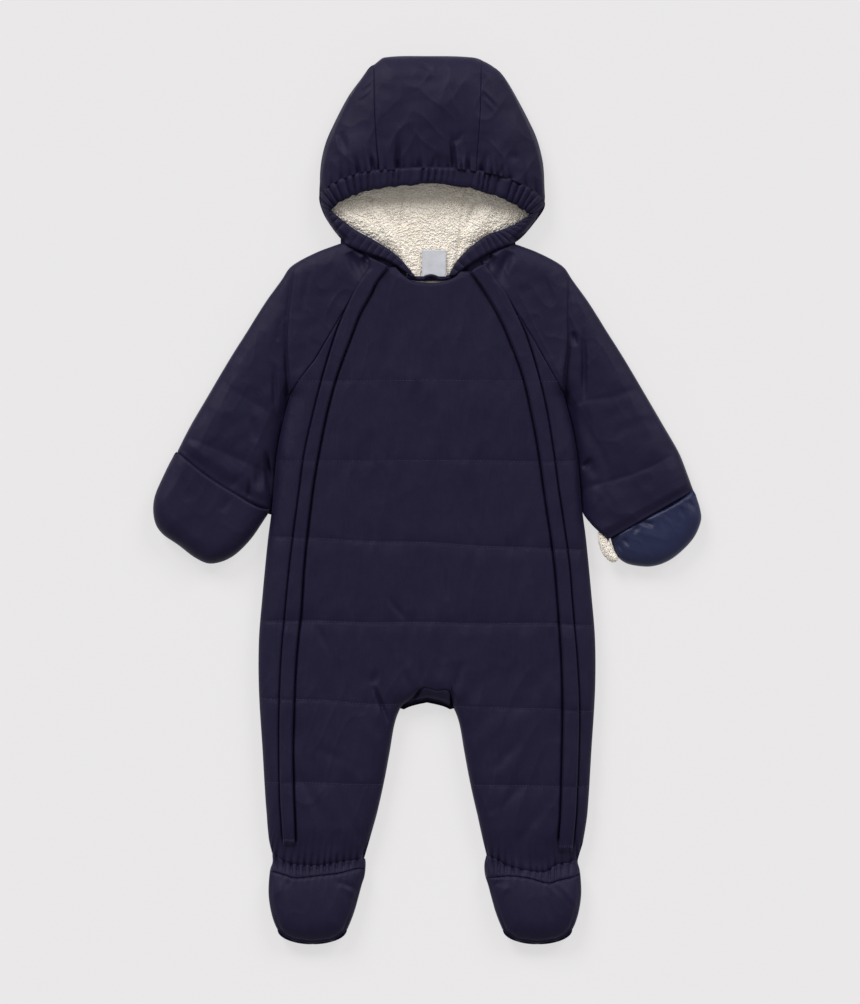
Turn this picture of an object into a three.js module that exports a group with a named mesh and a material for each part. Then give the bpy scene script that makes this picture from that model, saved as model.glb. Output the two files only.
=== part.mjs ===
// A baby's padded snowsuit with hood, feet and fold-over mittens, zipped up and laid flat on its back.
// Millimetres. +Z is up from the table, +Y runs from the feet to the hood, and +X is to the right
// of somebody who looks down on the suit. The origin is on the table under the middle of the suit.
import * as THREE from "three";

// Driving sizes.
const MID = 9; // height of the side seams above the table: the back lies below it, the front above
const SEAM = 0.3; // gap between two pieces at a seam
const EDGE = 1.2; // thickness of a panel where it ends in a side seam
const WALL = 11.5; // shell, wadding and plush lining together, at their full loft
const TURN = 7; // how far the lining stays back from a folded edge
const FRONT_ROUND = 26; // width over which the front rises from a side seam to its full height
const BACK_ROUND = 13; // width over which the back curls up from the table to a side seam
const QUILT_PITCH = 76.5; // distance between two quilting seams on the body
const QUILT_TOP = 113; // the highest quilting seam on the body
const QUILT_LINES = 6;
const QUILT_DEPTH = 2.2;
const QUILT_WIDTH = 5;
const FLAP_THICK = 2.6;
const HOOD_LOFT = 24; // how high the hood's upper layer stands over its side folds
const HOOD_ROUND = 60; // width over which it rises
const HOOD_WALL = 7;
const PUCKER = 1.1; // height of a gather of the elastic hems
const FEET_SWAY = 2; // the feet lie this far to the left of their mirrored places
const NAVY = 0x25233a;
const NAVY_SATIN = 0x2b3050;
const CREAM = 0xe9dfcc;
const LABEL_WHITE = 0xdcdee4;

// A smooth curve through the rows of a table: one column as a function of another.
function through(table, key, value) {
  const rows = [...table].sort((a, b) => a[key] - b[key]);
  const last = rows.length - 1;
  const slope = rows.map((row, i) => {
    const before = rows[Math.max(i - 1, 0)];
    const after = rows[Math.min(i + 1, last)];
    return (after[value] - before[value]) / (after[key] - before[key]);
  });
  return (at) => {
    if (at <= rows[0][key]) return rows[0][value];
    if (at >= rows[last][key]) return rows[last][value];
    const i = rows.findIndex((row) => row[key] > at) - 1;
    const span = rows[i + 1][key] - rows[i][key];
    const t = (at - rows[i][key]) / span;
    const rise = t * t * (3 - 2 * t);
    return (
      rows[i][value] * (1 - rise) +
      rows[i + 1][value] * rise +
      span * t * (1 - t) * ((1 - t) * slope[i] - t * slope[i + 1])
    );
  };
}

// The same through a table whose rows are simply counted, for outlines that turn back on themselves.
function station(table, column) {
  const counted = table.map((row, i) => ({ count: i, value: row[column] }));
  const curve = through(counted, "count", "value");
  return (share) => curve(share * (table.length - 1));
}

const mix = (a, b, t) => a + (b - a) * t;
const clamp = (v, low, high) => Math.min(Math.max(v, low), high);
const steps = (n) => Array.from({ length: n + 1 }, (_, i) => i / n);

// Outlines, for the right half of the suit. The left half is their mirror image.
// Outer edge of the body, from the armpit to the ankle.
const BODY_EDGE = [
  { y: 99, x: 130.5 },
  { y: 77, x: 136.5 },
  { y: 47, x: 142.5 },
  { y: 24, x: 145 },
  { y: -7, x: 147.5 },
  { y: -38, x: 151.5 },
  { y: -95, x: 157 },
  { y: -133, x: 160 },
  { y: -180, x: 160 },
  { y: -238, x: 156.5 },
  { y: -294, x: 153 },
  { y: -323, x: 149.5 },
  { y: -337, x: 145.5 },
];
// Inner edge of the leg, from below the crotch to the ankle.
const INSEAM = [
  { y: -197, x: 25 },
  { y: -205, x: 28.5 },
  { y: -216, x: 31.5 },
  { y: -238, x: 35.2 },
  { y: -266, x: 40.4 },
  { y: -294, x: 46.6 },
  { y: -323, x: 54 },
  { y: -337, x: 58 },
];
// The crotch, from the middle to the inseam.
const CROTCH = [
  { x: 0, y: -188.5 },
  { x: 9.5, y: -190.5 },
  { x: 18, y: -193 },
  { x: 25, y: -197 },
];
const GUSSET_TOP = -181; // the seam between the centre front and the gusset
// The flaps over the two zips, from the neck to the ankle: each flap's free edge, towards the middle,
// and its sewn edge, on the left and on the right side of the suit.
const FLAPS = [
  { y: 221, left: 37.2, leftSewn: 55.7, right: 38, rightSewn: 58.3 },
  { y: 207, left: 48.2, leftSewn: 64.3, right: 49.1, rightSewn: 67.6 },
  { y: 196, left: 53.6, leftSewn: 70.3, right: 56.4, rightSewn: 75.3 },
  { y: 176, left: 64.6, leftSewn: 79.5, right: 68.1, rightSewn: 85.1 },
  { y: 156, left: 72.2, leftSewn: 87, right: 77.4, rightSewn: 93.9 },
  { y: 120, left: 85.5, leftSewn: 97.9, right: 91, rightSewn: 105 },
  { y: 86, left: 95, leftSewn: 106.6, right: 99.3, rightSewn: 112.9 },
  { y: 47, left: 103, leftSewn: 115.4, right: 106.5, rightSewn: 119.4 },
  { y: 9, left: 109.3, leftSewn: 120.7, right: 111.9, rightSewn: 124.5 },
  { y: -57, left: 116.9, leftSewn: 129.2, right: 121.4, rightSewn: 134 },
  { y: -103, left: 120, leftSewn: 133.7, right: 125.4, rightSewn: 137.8 },
  { y: -148, left: 124.5, leftSewn: 137.6, right: 128.3, rightSewn: 141.6 },
  { y: -193, left: 126.7, leftSewn: 139.5, right: 129.6, rightSewn: 144 },
  { y: -238, left: 127.8, leftSewn: 139.9, right: 129, rightSewn: 143.6 },
  { y: -294, left: 126.4, leftSewn: 138.5, right: 127.5, rightSewn: 141.4 },
  { y: -337, left: 123.5, leftSewn: 133.8, right: 126, rightSewn: 139 },
];
const FLAP_TOP = { left: 222, right: 216 };
const FLAP_END = { left: -326, right: -332 };
const TAPE = [0.2, 0.6]; // the zip's tape, in shares of the flap's width
// Front neckline, from left to right.
const NECKLINE = [
  { x: -38, y: 221 },
  { x: -28.5, y: 215.5 },
  { x: -15, y: 208.4 },
  { x: 0, y: 206.2 },
  { x: 14, y: 207 },
  { x: 28, y: 211.5 },
  { x: 38, y: 217 },
];
// The raglan sleeves: the upper-arm fold (x, y), and opposite it (ix, iy), which is the raglan seam
// down to the armpit and the underarm edge from there, from the neck to the wrist.
const SLEEVE_LEFT = [
  { x: 81.5, y: 244, ix: 52.5, iy: 224 },
  { x: 92, y: 240.3, ix: 62.5, iy: 207 },
  { x: 104, y: 235.7, ix: 69.3, iy: 195.7 },
  { x: 119.7, y: 228, ix: 77.9, iy: 181.5 },
  { x: 130.6, y: 220.4, ix: 87, iy: 166.5 },
  { x: 138.2, y: 209, ix: 97, iy: 149.7 },
  { x: 152, y: 190, ix: 107, iy: 133 },
  { x: 162, y: 174.5, ix: 120.2, iy: 115.9 },
  { x: 170, y: 161.5, ix: 130.8, iy: 99.5 },
  { x: 188, y: 133, ix: 137, iy: 77 },
  { x: 210.4, y: 95, ix: 143, iy: 48 },
  { x: 225, y: 70, ix: 145.8, iy: 22 },
  { x: 236.5, y: 47.5, ix: 148.6, iy: -7.4 },
];
// The right sleeve goes on further, because its mitten isn't folded back.
const SLEEVE_RIGHT = [
  { x: 81.5, y: 244, ix: 54, iy: 224 },
  { x: 92, y: 240.3, ix: 66, iy: 207 },
  { x: 104, y: 235.7, ix: 74.5, iy: 195.7 },
  { x: 119.7, y: 228, ix: 83, iy: 181.8 },
  { x: 130.6, y: 220.4, ix: 91, iy: 169.5 },
  { x: 138.2, y: 209, ix: 100, iy: 155 },
  { x: 152, y: 190, ix: 110, iy: 137.2 },
  { x: 162, y: 174.5, ix: 120.5, iy: 118.5 },
  { x: 170, y: 161.5, ix: 131, iy: 99.5 },
  { x: 188, y: 133, ix: 137, iy: 77 },
  { x: 210.4, y: 95, ix: 143, iy: 48 },
  { x: 225, y: 70, ix: 145.8, iy: 22 },
  { x: 239, y: 45.6, ix: 148, iy: -6 },
  { x: 246.5, y: 27, ix: 157, iy: -21 },
  { x: 253, y: 9, ix: 173, iy: -36.5 },
];
const ARMPIT_ROW = 8;
// Outer and inner edge of a foot, from the ankle to the toe.
const FOOT_OUTER = [
  { y: -337, x: 145.5 },
  { y: -344, x: 145 },
  { y: -351, x: 147 },
  { y: -363, x: 148.3 },
  { y: -375, x: 148.5 },
  { y: -387, x: 147 },
  { y: -399, x: 144 },
  { y: -408, x: 140 },
  { y: -415, x: 134 },
  { y: -419.5, x: 125 },
];
const FOOT_INNER = [
  { y: -337, x: 58 },
  { y: -344, x: 56.5 },
  { y: -351, x: 56.5 },
  { y: -358, x: 57.5 },
  { y: -365, x: 59.8 },
  { y: -377, x: 63 },
  { y: -391, x: 67 },
  { y: -404, x: 72 },
  { y: -412, x: 76.5 },
  { y: -419.5, x: 88 },
];
const TOE = -422; // the lowest point of the feet
// How high the front stands above the side seams, down the suit.
const LOFT = [
  { y: 245, up: 7.5 },
  { y: 200, up: 9.5 },
  { y: 150, up: 11.5 },
  { y: 100, up: 13 },
  { y: 0, up: 13.4 },
  { y: -100, up: 13.5 },
  { y: -190, up: 13 },
  { y: -260, up: 13 },
  { y: -310, up: 12 },
  { y: -332, up: 9 },
  { y: -345, up: 8 },
  { y: -358, up: 11 },
  { y: -380, up: 14 },
  { y: -405, up: 14 },
  { y: -422, up: 11 },
];
// The main folds: a trough from (x, y) to (tx, ty), with its depth at each end and its half width.
const FOLDS = [
  { side: -1, x: 128, y: 218, tx: 131, ty: 150, from: 1.5, to: 5, wide: 5 },
  { side: 1, x: 133, y: 216, tx: 134, ty: 150, from: 1.5, to: 5.5, wide: 5 },
  { side: -1, x: 152, y: 49, tx: 148, ty: 4, from: 1, to: 5, wide: 5 },
  { side: -1, x: 160, y: 36, tx: 160, ty: 8, from: 1, to: 3, wide: 4.5 },
  { side: 1, x: 150, y: 92, tx: 155, ty: 50, from: 1, to: 3, wide: 6 },
  { side: 1, x: 152, y: 42, tx: 160, ty: 20, from: 1, to: 3.5, wide: 5 },
  { side: -1, x: 73, y: 236, tx: 62, ty: 208, from: 4, to: 1, wide: 5 },
  { side: 1, x: 79, y: 236, tx: 66, ty: 205, from: 4, to: 1, wide: 5 },
  { side: -1, x: 60, y: 231, tx: 56, ty: 216, from: 3, to: 1, wide: 4 },
  { side: 1, x: 62, y: 232, tx: 58, ty: 216, from: 3, to: 1, wide: 4 },
  { side: -1, x: 32, y: -150, tx: 20, ty: -188, from: 0.5, to: 3, wide: 6 },
  { side: 1, x: 30, y: -160, tx: 22, ty: -190, from: 0.5, to: 3, wide: 6 },
  { side: -1, x: 52, y: -180, tx: 34, ty: -224, from: 0.5, to: 2.5, wide: 7 },
];

// The hood's side folds, and its crown.
const HOOD_SIDES = [
  { y: 246, left: -78.3, right: 83.5 },
  { y: 255, left: -88.4, right: 95 },
  { y: 266, left: -95.2, right: 103.3 },
  { y: 280, left: -101, right: 111.7 },
  { y: 295, left: -102, right: 111.7 },
  { y: 318, left: -101, right: 110.5 },
  { y: 337, left: -97, right: 106.4 },
  { y: 352, left: -91, right: 100.8 },
  { y: 383, left: -75, right: 84.8 },
  { y: 401, left: -62, right: 74 },
  { y: 409, left: -56, right: 67 },
  { y: 415, left: -49, right: 59 },
];
const CROWN = [
  { x: -56, y: 409 },
  { x: -49, y: 415 },
  { x: -41, y: 420.5 },
  { x: 0, y: 421.8 },
  { x: 43, y: 420.5 },
  { x: 56, y: 416 },
  { x: 67, y: 409 },
];
// Seams between the hood's centre panel and its side panels.
const HOOD_SEAMS = [
  { y: 226, left: -47, right: 47 },
  { y: 318, left: -46, right: 47.3 },
  { y: 335, left: -47.7, right: 48.2 },
  { y: 369, left: -49.8, right: 50.7 },
  { y: 409, left: -50.6, right: 51.5 },
];
// The elastic band round the face: its outer edge (ox, oy) and its edge at the face (ix, iy), the
// height of its top over the table and that of its underside. It runs from the neck up to the left
// tip of the opening, along the brim, and down from the right tip.
const BAND_LEFT = [
  { ox: -15.5, oy: 212.8, ix: -10.5, iy: 211.8, top: 18, under: 9.15 },
  { ox: -33.3, oy: 227.1, ix: -28.5, iy: 232.3, top: 19, under: 9.15 },
  { ox: -55, oy: 236, ix: -48, iy: 245.6, top: 19.5, under: 9.15 },
  { ox: -77, oy: 244.8, ix: -68.4, iy: 257, top: 20, under: 9.15 },
  { ox: -95.2, oy: 266, ix: -87.4, iy: 271.5, top: 20, under: 9.15 },
  { ox: -102.4, oy: 285, ix: -90.3, iy: 275.5, top: 21, under: 11 },
];
const BAND_BRIM = [
  { ox: -98.8, oy: 294.5, ix: -86.5, iy: 280.3, top: 23, under: 13.6 },
  { ox: -85.5, oy: 303.5, ix: -77, iy: 286.4, top: 27, under: 16 },
  { ox: -60, oy: 312, ix: -58, iy: 294.2, top: 31, under: 21 },
  { ox: -25, oy: 315, ix: -25, iy: 300, top: 33.5, under: 24 },
  { ox: 5, oy: 316, ix: 4, iy: 301.8, top: 34, under: 25 },
  { ox: 35, oy: 314.5, ix: 34, iy: 299.3, top: 33.5, under: 24 },
  { ox: 66, oy: 309.5, ix: 63, iy: 290.5, top: 31, under: 21 },
  { ox: 92, oy: 300, ix: 84, iy: 280.6, top: 27, under: 16 },
  { ox: 107.6, oy: 289, ix: 94, iy: 273.5, top: 23, under: 13.6 },
];
const BAND_RIGHT = [
  { ox: 112, oy: 279.3, ix: 96.5, iy: 270.5, top: 21, under: 11 },
  { ox: 103.3, oy: 265, ix: 87.4, iy: 263.8, top: 20, under: 9.15 },
  { ox: 86, oy: 247.2, ix: 70, iy: 256.5, top: 20, under: 9.15 },
  { ox: 62, oy: 238.5, ix: 54, iy: 249.9, top: 19.5, under: 9.15 },
  { ox: 41, oy: 226.5, ix: 32, iy: 231.5, top: 19, under: 9.15 },
  { ox: 26.5, oy: 213.8, ix: 20.5, iy: 213.2, top: 18, under: 9.15 },
];
const BAND_PUCKERS = 60;
const BRIM_SEAM_ROW = 318; // where the hood's two long seams meet the band
// The hood's neck edge on its underside, from the end of a long seam to the tip of the side fold.
const NECK_LEFT = [
  { x: -47.6, y: 226.8 },
  { x: -63, y: 234.6 },
  { x: -78, y: 246.8 },
  { x: -95.2, y: 266 },
  { x: -102, y: 284 },
  { x: -101.7, y: 306 },
];
const NECK_RIGHT = [
  { x: 47.6, y: 226.8 },
  { x: 64, y: 235.2 },
  { x: 83, y: 247.2 },
  { x: 97, y: 257.5 },
  { x: 104.5, y: 267.5 },
  { x: 111.6, y: 280 },
  { x: 111.6, y: 299 },
];
// The plush lining that shows in the hood: its lower edge and, under the brim, its upper edge.
const LINING = [
  { x: -88, low: 276.5, high: 279 },
  { x: -78, low: 266, high: 296 },
  { x: -53, low: 251.5, high: 322 },
  { x: -36, low: 241, high: 330 },
  { x: -24, low: 231, high: 333 },
  { x: -12, low: 217, high: 335 },
  { x: -6, low: 209.5, high: 336 },
  { x: 15, low: 209.5, high: 336 },
  { x: 22, low: 218.5, high: 335 },
  { x: 30, low: 231.5, high: 333 },
  { x: 41, low: 242.5, high: 330 },
  { x: 54, low: 252.5, high: 323 },
  { x: 80, low: 263.5, high: 299 },
  { x: 93, low: 272.5, high: 276 },
];
const PLUSH = 4; // depth of its pile
const LINING_SEAMS = { left: { at: -24.6, lean: 0.04 }, right: { at: 33, lean: 0.3 } };
// The mittens: the wrist (wx, wy) and the outline of the hand (x, y), from the upper-arm side.
const MITTEN_LEFT = [
  { wx: -237.9, wy: 45.7, x: -239.8, y: 44 },
  { wx: -231.1, wy: 40.5, x: -249, y: 26 },
  { wx: -221.1, wy: 32.1, x: -259, y: 2 },
  { wx: -210.1, wy: 23.5, x: -259.2, y: -18 },
  { wx: -198.1, wy: 15.7, x: -252, y: -31.5 },
  { wx: -186.1, wy: 8.3, x: -236, y: -43 },
  { wx: -176.1, wy: 2.3, x: -220, y: -55 },
  { wx: -167.1, wy: -3.3, x: -205, y: -60.5 },
  { wx: -159.1, wy: -7.2, x: -186, y: -54.5 },
  { wx: -152.1, wy: -8.9, x: -168, y: -38 },
  { wx: -149.5, wy: -8.7, x: -151.5, y: -14 },
];
const MITTEN_RIGHT = [
  { wx: 253.6, wy: 8, x: 255.4, y: 5 },
  { wx: 247.5, wy: 4, x: 259.6, y: -9 },
  { wx: 239, wy: -1.8, x: 260.2, y: -20 },
  { wx: 230, wy: -6.9, x: 254, y: -35 },
  { wx: 220.5, wy: -11.7, x: 242, y: -48.5 },
  { wx: 211, wy: -16.6, x: 228.5, y: -58.3 },
  { wx: 202.5, wy: -20.8, x: 214, y: -63 },
  { wx: 194.5, wy: -24.9, x: 199.5, y: -62.6 },
  { wx: 187.5, wy: -28.9, x: 188, y: -59.5 },
  { wx: 180.5, wy: -33.3, x: 180, y: -52.5 },
  { wx: 174.6, wy: -37.3, x: 176, y: -42.5 },
];
const MITTEN_ROUND = 18;
const MITTEN_UP = { folded: 15.5, open: 10.5 };
// The plush edge that peeks out of the open mitten, along its inner side.
const PLUSH_EDGE = [
  { x: 163.5, y: -29.5 },
  { x: 165.5, y: -37 },
  { x: 168.5, y: -45 },
  { x: 173, y: -53 },
  { x: 179.5, y: -59 },
];

const bodyEdge = through(BODY_EDGE, "y", "x");
const inseam = through(INSEAM, "y", "x");
const crotch = through(CROTCH, "x", "y");
const raglanOf = (table) =>
  through(
    table.slice(0, ARMPIT_ROW + 1).map(({ ix, iy }) => ({ x: ix, y: iy })),
    "y",
    "x",
  );
const raglan = { left: raglanOf(SLEEVE_LEFT), right: raglanOf(SLEEVE_RIGHT) };
// Places across a flap, from its free edge (0) to its sewn edge (1).
const flapCurves = {
  left: [through(FLAPS, "y", "left"), through(FLAPS, "y", "leftSewn")],
  right: [through(FLAPS, "y", "right"), through(FLAPS, "y", "rightSewn")],
};
const hand = (side) => (side < 0 ? "left" : "right");
const acrossFlap = (side, y, share) => {
  const [free, sewn] = flapCurves[hand(side)];
  return mix(free(y), sewn(y), share);
};
const neckline = through(NECKLINE, "x", "y");
const footOuter = through(FOOT_OUTER, "y", "x");
const footInner = through(FOOT_INNER, "y", "x");
const loft = through(LOFT, "y", "up");

// Points along the edges, for measuring how far a place is from the nearest one.
const sample = (n, point) => steps(n).map(point);
const overTable = (table, curve, n) =>
  sample(n, (t) => {
    const y = mix(table[0].y, table[table.length - 1].y, t);
    return [curve(y), y];
  });
const suitEdges = [
  overTable(BODY_EDGE, bodyEdge, 30),
  overTable(INSEAM, inseam, 16),
  sample(8, (t) => [25 * t, crotch(25 * t)]),
  SLEEVE_RIGHT.map(({ x, y }) => [x, y]),
  [
    ...overTable(FOOT_OUTER, footOuter, 20),
    [107, TOE],
    ...overTable(FOOT_INNER, footInner, 20).reverse(),
  ],
];

function distanceTo(lines, x, y) {
  let least = Infinity;
  for (const line of lines)
    for (let i = 1; i < line.length; i++) {
      const [ax, ay] = line[i - 1];
      const [bx, by] = line[i];
      const long = (bx - ax) ** 2 + (by - ay) ** 2;
      const t = clamp(((x - ax) * (bx - ax) + (y - ay) * (by - ay)) / long, 0, 1);
      least = Math.min(least, Math.hypot(x - mix(ax, bx, t), y - mix(ay, by, t)));
    }
  return least;
}

// A quarter circle's rise: 0 at an edge, 1 from the radius on.
const rounded = (far, radius) => Math.sqrt(1 - (1 - clamp(far / radius, 0, 1)) ** 2);
const dip = (far, wide) => Math.exp(-((far / wide) ** 2));

function foldDepth(x, y) {
  let depth = 0;
  for (const f of FOLDS) {
    const ax = f.side * f.x;
    const bx = f.side * f.tx;
    const long = (bx - ax) ** 2 + (f.ty - f.y) ** 2;
    const t = clamp(((x - ax) * (bx - ax) + (y - f.y) * (f.ty - f.y)) / long, 0, 1);
    const far = Math.hypot(x - mix(ax, bx, t), y - mix(f.y, f.ty, t));
    depth += mix(f.from, f.to, t) * dip(far, f.wide);
  }
  return depth;
}

// Height of the front's outside over the table, without quilting.
function frontHeight(x, y) {
  const far = distanceTo(suitEdges, Math.abs(x), y);
  const up = loft(y) * rounded(far, FRONT_ROUND);
  return MID + EDGE + Math.max(up - foldDepth(x, y) * rounded(far, 12), 0);
}
const quiltSeams = steps(QUILT_LINES - 1).map(
  (t) => QUILT_TOP - QUILT_PITCH * t * (QUILT_LINES - 1),
);
const quilting = (y) =>
  quiltSeams.reduce((sum, at) => sum + QUILT_DEPTH * dip(y - at, QUILT_WIDTH), 0);
const bodyHeight = (x, y) => Math.max(frontHeight(x, y) - quilting(y), MID + EDGE);
// Height of the back's outside: 0 where it lies on the table.
const backHeight = (x, y, lines = suitEdges) =>
  (MID - EDGE) * (1 - rounded(distanceTo(lines, Math.abs(x), y), BACK_ROUND));
// Where the lining of a front panel runs: on the back panel, or a wall's thickness under the shell.
const frontInside = (height) => Math.max(MID + SEAM / 2, height - WALL);

const sway = (y) => -FEET_SWAY * clamp((-300 - y) / 50, 0, 1);

// A closed solid from a grid of points on the outside and a grid on the inside of a piece of cloth.
// keep says which cells of the grid are cloth. A ring's last column joins its first.
function cloth(name, colour, shape) {
  const { rows, columns, outside, inside, keep = () => true, ring = false } = shape;
  const isCell = (i, j) => {
    const column = ring ? (j + columns) % columns : j;
    return i >= 0 && i < rows && column >= 0 && column < columns && keep(i, column);
  };
  const points = [];
  const known = new Map();
  const vertex = (face, i, j) => {
    const column = ring ? j % columns : j;
    const key = `${face} ${i} ${column}`;
    if (!known.has(key)) {
      known.set(key, points.length / 3);
      const [x, y, z] = face === "out" ? outside(i, column) : inside(i, column);
      points.push(x + sway(y), y, z);
    }
    return known.get(key);
  };
  const faces = [];
  const quad = (a, b, c, d) => faces.push(a, b, c, a, c, d);
  for (let i = 0; i < rows; i++)
    for (let j = 0; j < columns; j++) {
      if (!isCell(i, j)) continue;
      const corners = [[i, j], [i + 1, j], [i + 1, j + 1], [i, j + 1]];
      quad(...corners.map(([a, b]) => vertex("out", a, b)));
      quad(...[...corners].reverse().map(([a, b]) => vertex("in", a, b)));
      const beside = [isCell(i, j - 1), isCell(i + 1, j), isCell(i, j + 1), isCell(i - 1, j)];
      beside.forEach((there, k) => {
        if (there) return;
        const [a, b] = [corners[k], corners[(k + 1) % 4]];
        quad(vertex("out", ...b), vertex("out", ...a), vertex("in", ...a), vertex("in", ...b));
      });
    }
  const volume = faces.reduce((sum, _, k) => {
    if (k % 3) return sum;
    const [a, b, c] = [0, 1, 2].map((n) => new THREE.Vector3().fromArray(points, 3 * faces[k + n]));
    return sum + a.dot(b.cross(c));
  }, 0);
  if (volume < 0) faces.reverse();
  const geometry = new THREE.BufferGeometry();
  geometry.setAttribute("position", new THREE.Float32BufferAttribute(points, 3));
  geometry.setIndex(faces);
  const material = new THREE.MeshStandardMaterial({ color: colour, roughness: 0.75, metalness: 0 });
  const mesh = new THREE.Mesh(geometry, material);
  mesh.name = name;
  return mesh;
}

// Rows down the body: close together at each quilting seam, wider between two of them.
function bodyRows(top, bottom) {
  const beside = [0, 0.09, 0.34, 0.66, 0.91].map((share) => share * QUILT_PITCH);
  const found = [top, bottom];
  for (let k = -2; k <= QUILT_LINES; k++)
    for (const step of beside) found.push(QUILT_TOP - k * QUILT_PITCH - step);
  const nearest = 4;
  return found
    .filter((y) => y <= top && y >= bottom)
    .filter((y) => y === top || y === bottom || (top - y > nearest && y - bottom > nearest))
    .sort((a, b) => b - a);
}

const ANKLE_TOP = -337;
const ANKLE_BOTTOM = -356;

// The centre front: one panel from the neckline to both ankles, between the two zips.
function centreFront() {
  const legShare = [0, 0.33, 0.66, 0.9, 1]; // from the zip to the inseam
  const middle = 4;
  const legColumns = legShare.length - 1;
  const columns = 2 * legColumns + middle;
  const neckRow = 196;
  const crotchRow = -198;
  const above = bodyRows(neckRow, crotchRow);
  const below = bodyRows(crotchRow, ANKLE_TOP + SEAM).slice(1);
  const rows = [neckRow + 1, ...above, ...below];
  const crotchIndex = above.length;
  const zipEdge = (side, y) => side * (acrossFlap(side, y, TAPE[0]) - SEAM);
  const split = (y) => (y > crotchRow ? mix(24.5, 18, clamp((y + 60) / 260, 0, 1)) : inseam(y));
  const acrossAt = (j, y) => {
    if (j <= legColumns) return mix(zipEdge(-1, y), -split(y), legShare[j]);
    if (j >= legColumns + middle) return mix(zipEdge(1, y), split(y), legShare[columns - j]);
    return mix(-split(y), split(y), (j - legColumns) / middle);
  };
  const plan = (i, j) => {
    if (i === 0) {
      const x = acrossAt(j, 214);
      return [x, neckline(x)];
    }
    const y = rows[i];
    const x = acrossAt(j, y);
    const up = i <= 2 ? (neckline(x) - 206) * (i === 1 ? 0.7 : 0.3) : 0;
    const overGusset = j > legColumns && j < legColumns + middle && i <= crotchIndex;
    if (overGusset && y < 0) return [x, Math.max(y, GUSSET_TOP + 4 * (crotchIndex - i))];
    return [acrossAt(j, y + up), y + up];
  };
  return cloth("front_centre", NAVY, {
    rows: rows.length - 1,
    columns,
    keep: (i, j) => i < crotchIndex || j < legColumns || j >= legColumns + middle,
    outside: (i, j) => {
      const [x, y] = plan(i, j);
      return [x, y, bodyHeight(x, y)];
    },
    inside: (i, j) => {
      const [x, y] = plan(i, j);
      return [x, y, frontInside(bodyHeight(x, y))];
    },
  });
}

// A side front: from the zip to the side seam, and from the raglan seam to the ankle.
function sideFront(name, side) {
  const shares = [0, 0.42, 0.74, 0.92, 1];
  const rows = bodyRows(205, ANKLE_TOP + SEAM);
  const armpit = BODY_EDGE[0].y;
  const seam = (y) => (y > armpit ? raglan[hand(side)](y) - 2 * SEAM : bodyEdge(y) - SEAM);
  const point = (i, j) => {
    const y = rows[i];
    const x = side * mix(acrossFlap(side, y, TAPE[1]) + SEAM, seam(y), shares[j]);
    return [x, y, bodyHeight(x, y)];
  };
  return cloth(name, NAVY, {
    rows: rows.length - 1,
    columns: shares.length - 1,
    outside: point,
    inside: (i, j) => {
      const [x, y, z] = point(i, j);
      return [x, y, frontInside(z)];
    },
  });
}

// A zip: a narrow tape in the gap between the centre and the side front.
function zip(name, side) {
  const rows = bodyRows(195, -330);
  const point = (i, j, down) => {
    const x = side * acrossFlap(side, rows[i], TAPE[j]);
    return [x, rows[i], bodyHeight(x, rows[i]) - down];
  };
  return cloth(name, NAVY, {
    rows: rows.length - 1,
    columns: 1,
    outside: (i, j) => point(i, j, 0.4),
    inside: (i, j) => point(i, j, 2.4),
  });
}

// The flap that covers a zip, made from the fronts' own points, moved out.
function zipFlap(name, side) {
  const shares = [0, 0.12, 0.5, 0.88, 1];
  const rise = [0.35, 1, 1.1, 1, 0.35];
  const rows = bodyRows(FLAP_TOP[hand(side)], FLAP_END[hand(side)]);
  const point = (i, j, up) => {
    const slant = i === 0 ? mix(-3, 6, shares[j]) : 0;
    const y = rows[i] + slant;
    const x = side * acrossFlap(side, y, shares[j]);
    const overSleeve = 0.6 * clamp((y - 185) / 20, 0, 1);
    return [x, y, bodyHeight(x, y) + overSleeve + up];
  };
  return cloth(name, NAVY, {
    rows: rows.length - 1,
    columns: shares.length - 1,
    outside: (i, j) => point(i, j, 0.5 + FLAP_THICK * rise[j]),
    inside: (i, j) => point(i, j, 0.5),
  });
}

// The back: one panel from the neck seam to both ankles, flat on the table but for its rims.
function backPanel() {
  const shares = [0, 0.04, 0.16, 0.55, 0.84, 0.96, 1]; // from the side seam to the inseam
  const middle = 2;
  const half = shares.length - 1;
  const columns = 2 * half + middle;
  const above = [226, 211, 200, 190, 176, 161.5, 143, 120.5, 99, 70, 40, 0, -50, -100, -150, -198];
  const below = [-216, -240, -270, -300, -323, ANKLE_TOP + SEAM];
  const rows = [...above, ...below];
  const crotchIndex = above.length - 1;
  const armpit = BODY_EDGE[0].y;
  const rim = (side, y) =>
    side * (y > armpit ? raglan[hand(side)](y) - 2 * SEAM : bodyEdge(y) - SEAM);
  const split = (y) => (y > -198 ? 24.5 : inseam(y));
  const across = (j, y) => {
    if (j <= half) return mix(rim(-1, y), -split(y), shares[j]);
    if (j >= half + middle) return mix(rim(1, y), split(y), shares[columns - j]);
    return mix(-split(y), split(y), (j - half) / middle);
  };
  const plan = (i, j) => {
    const x = across(j, rows[i]);
    const inMiddle = j >= half && j <= half + middle;
    return [x, i === crotchIndex && inMiddle ? crotch(Math.abs(x)) - 5 : rows[i]];
  };
  return cloth("back_panel", NAVY, {
    rows: rows.length - 1,
    columns,
    keep: (i, j) => i < crotchIndex || j < half || j >= half + middle,
    outside: (i, j) => {
      const [x, y] = plan(i, j);
      return [x, y, backHeight(x, y)];
    },
    inside: (i, j) => [...plan(i, j), MID - SEAM / 2],
  });
}

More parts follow.
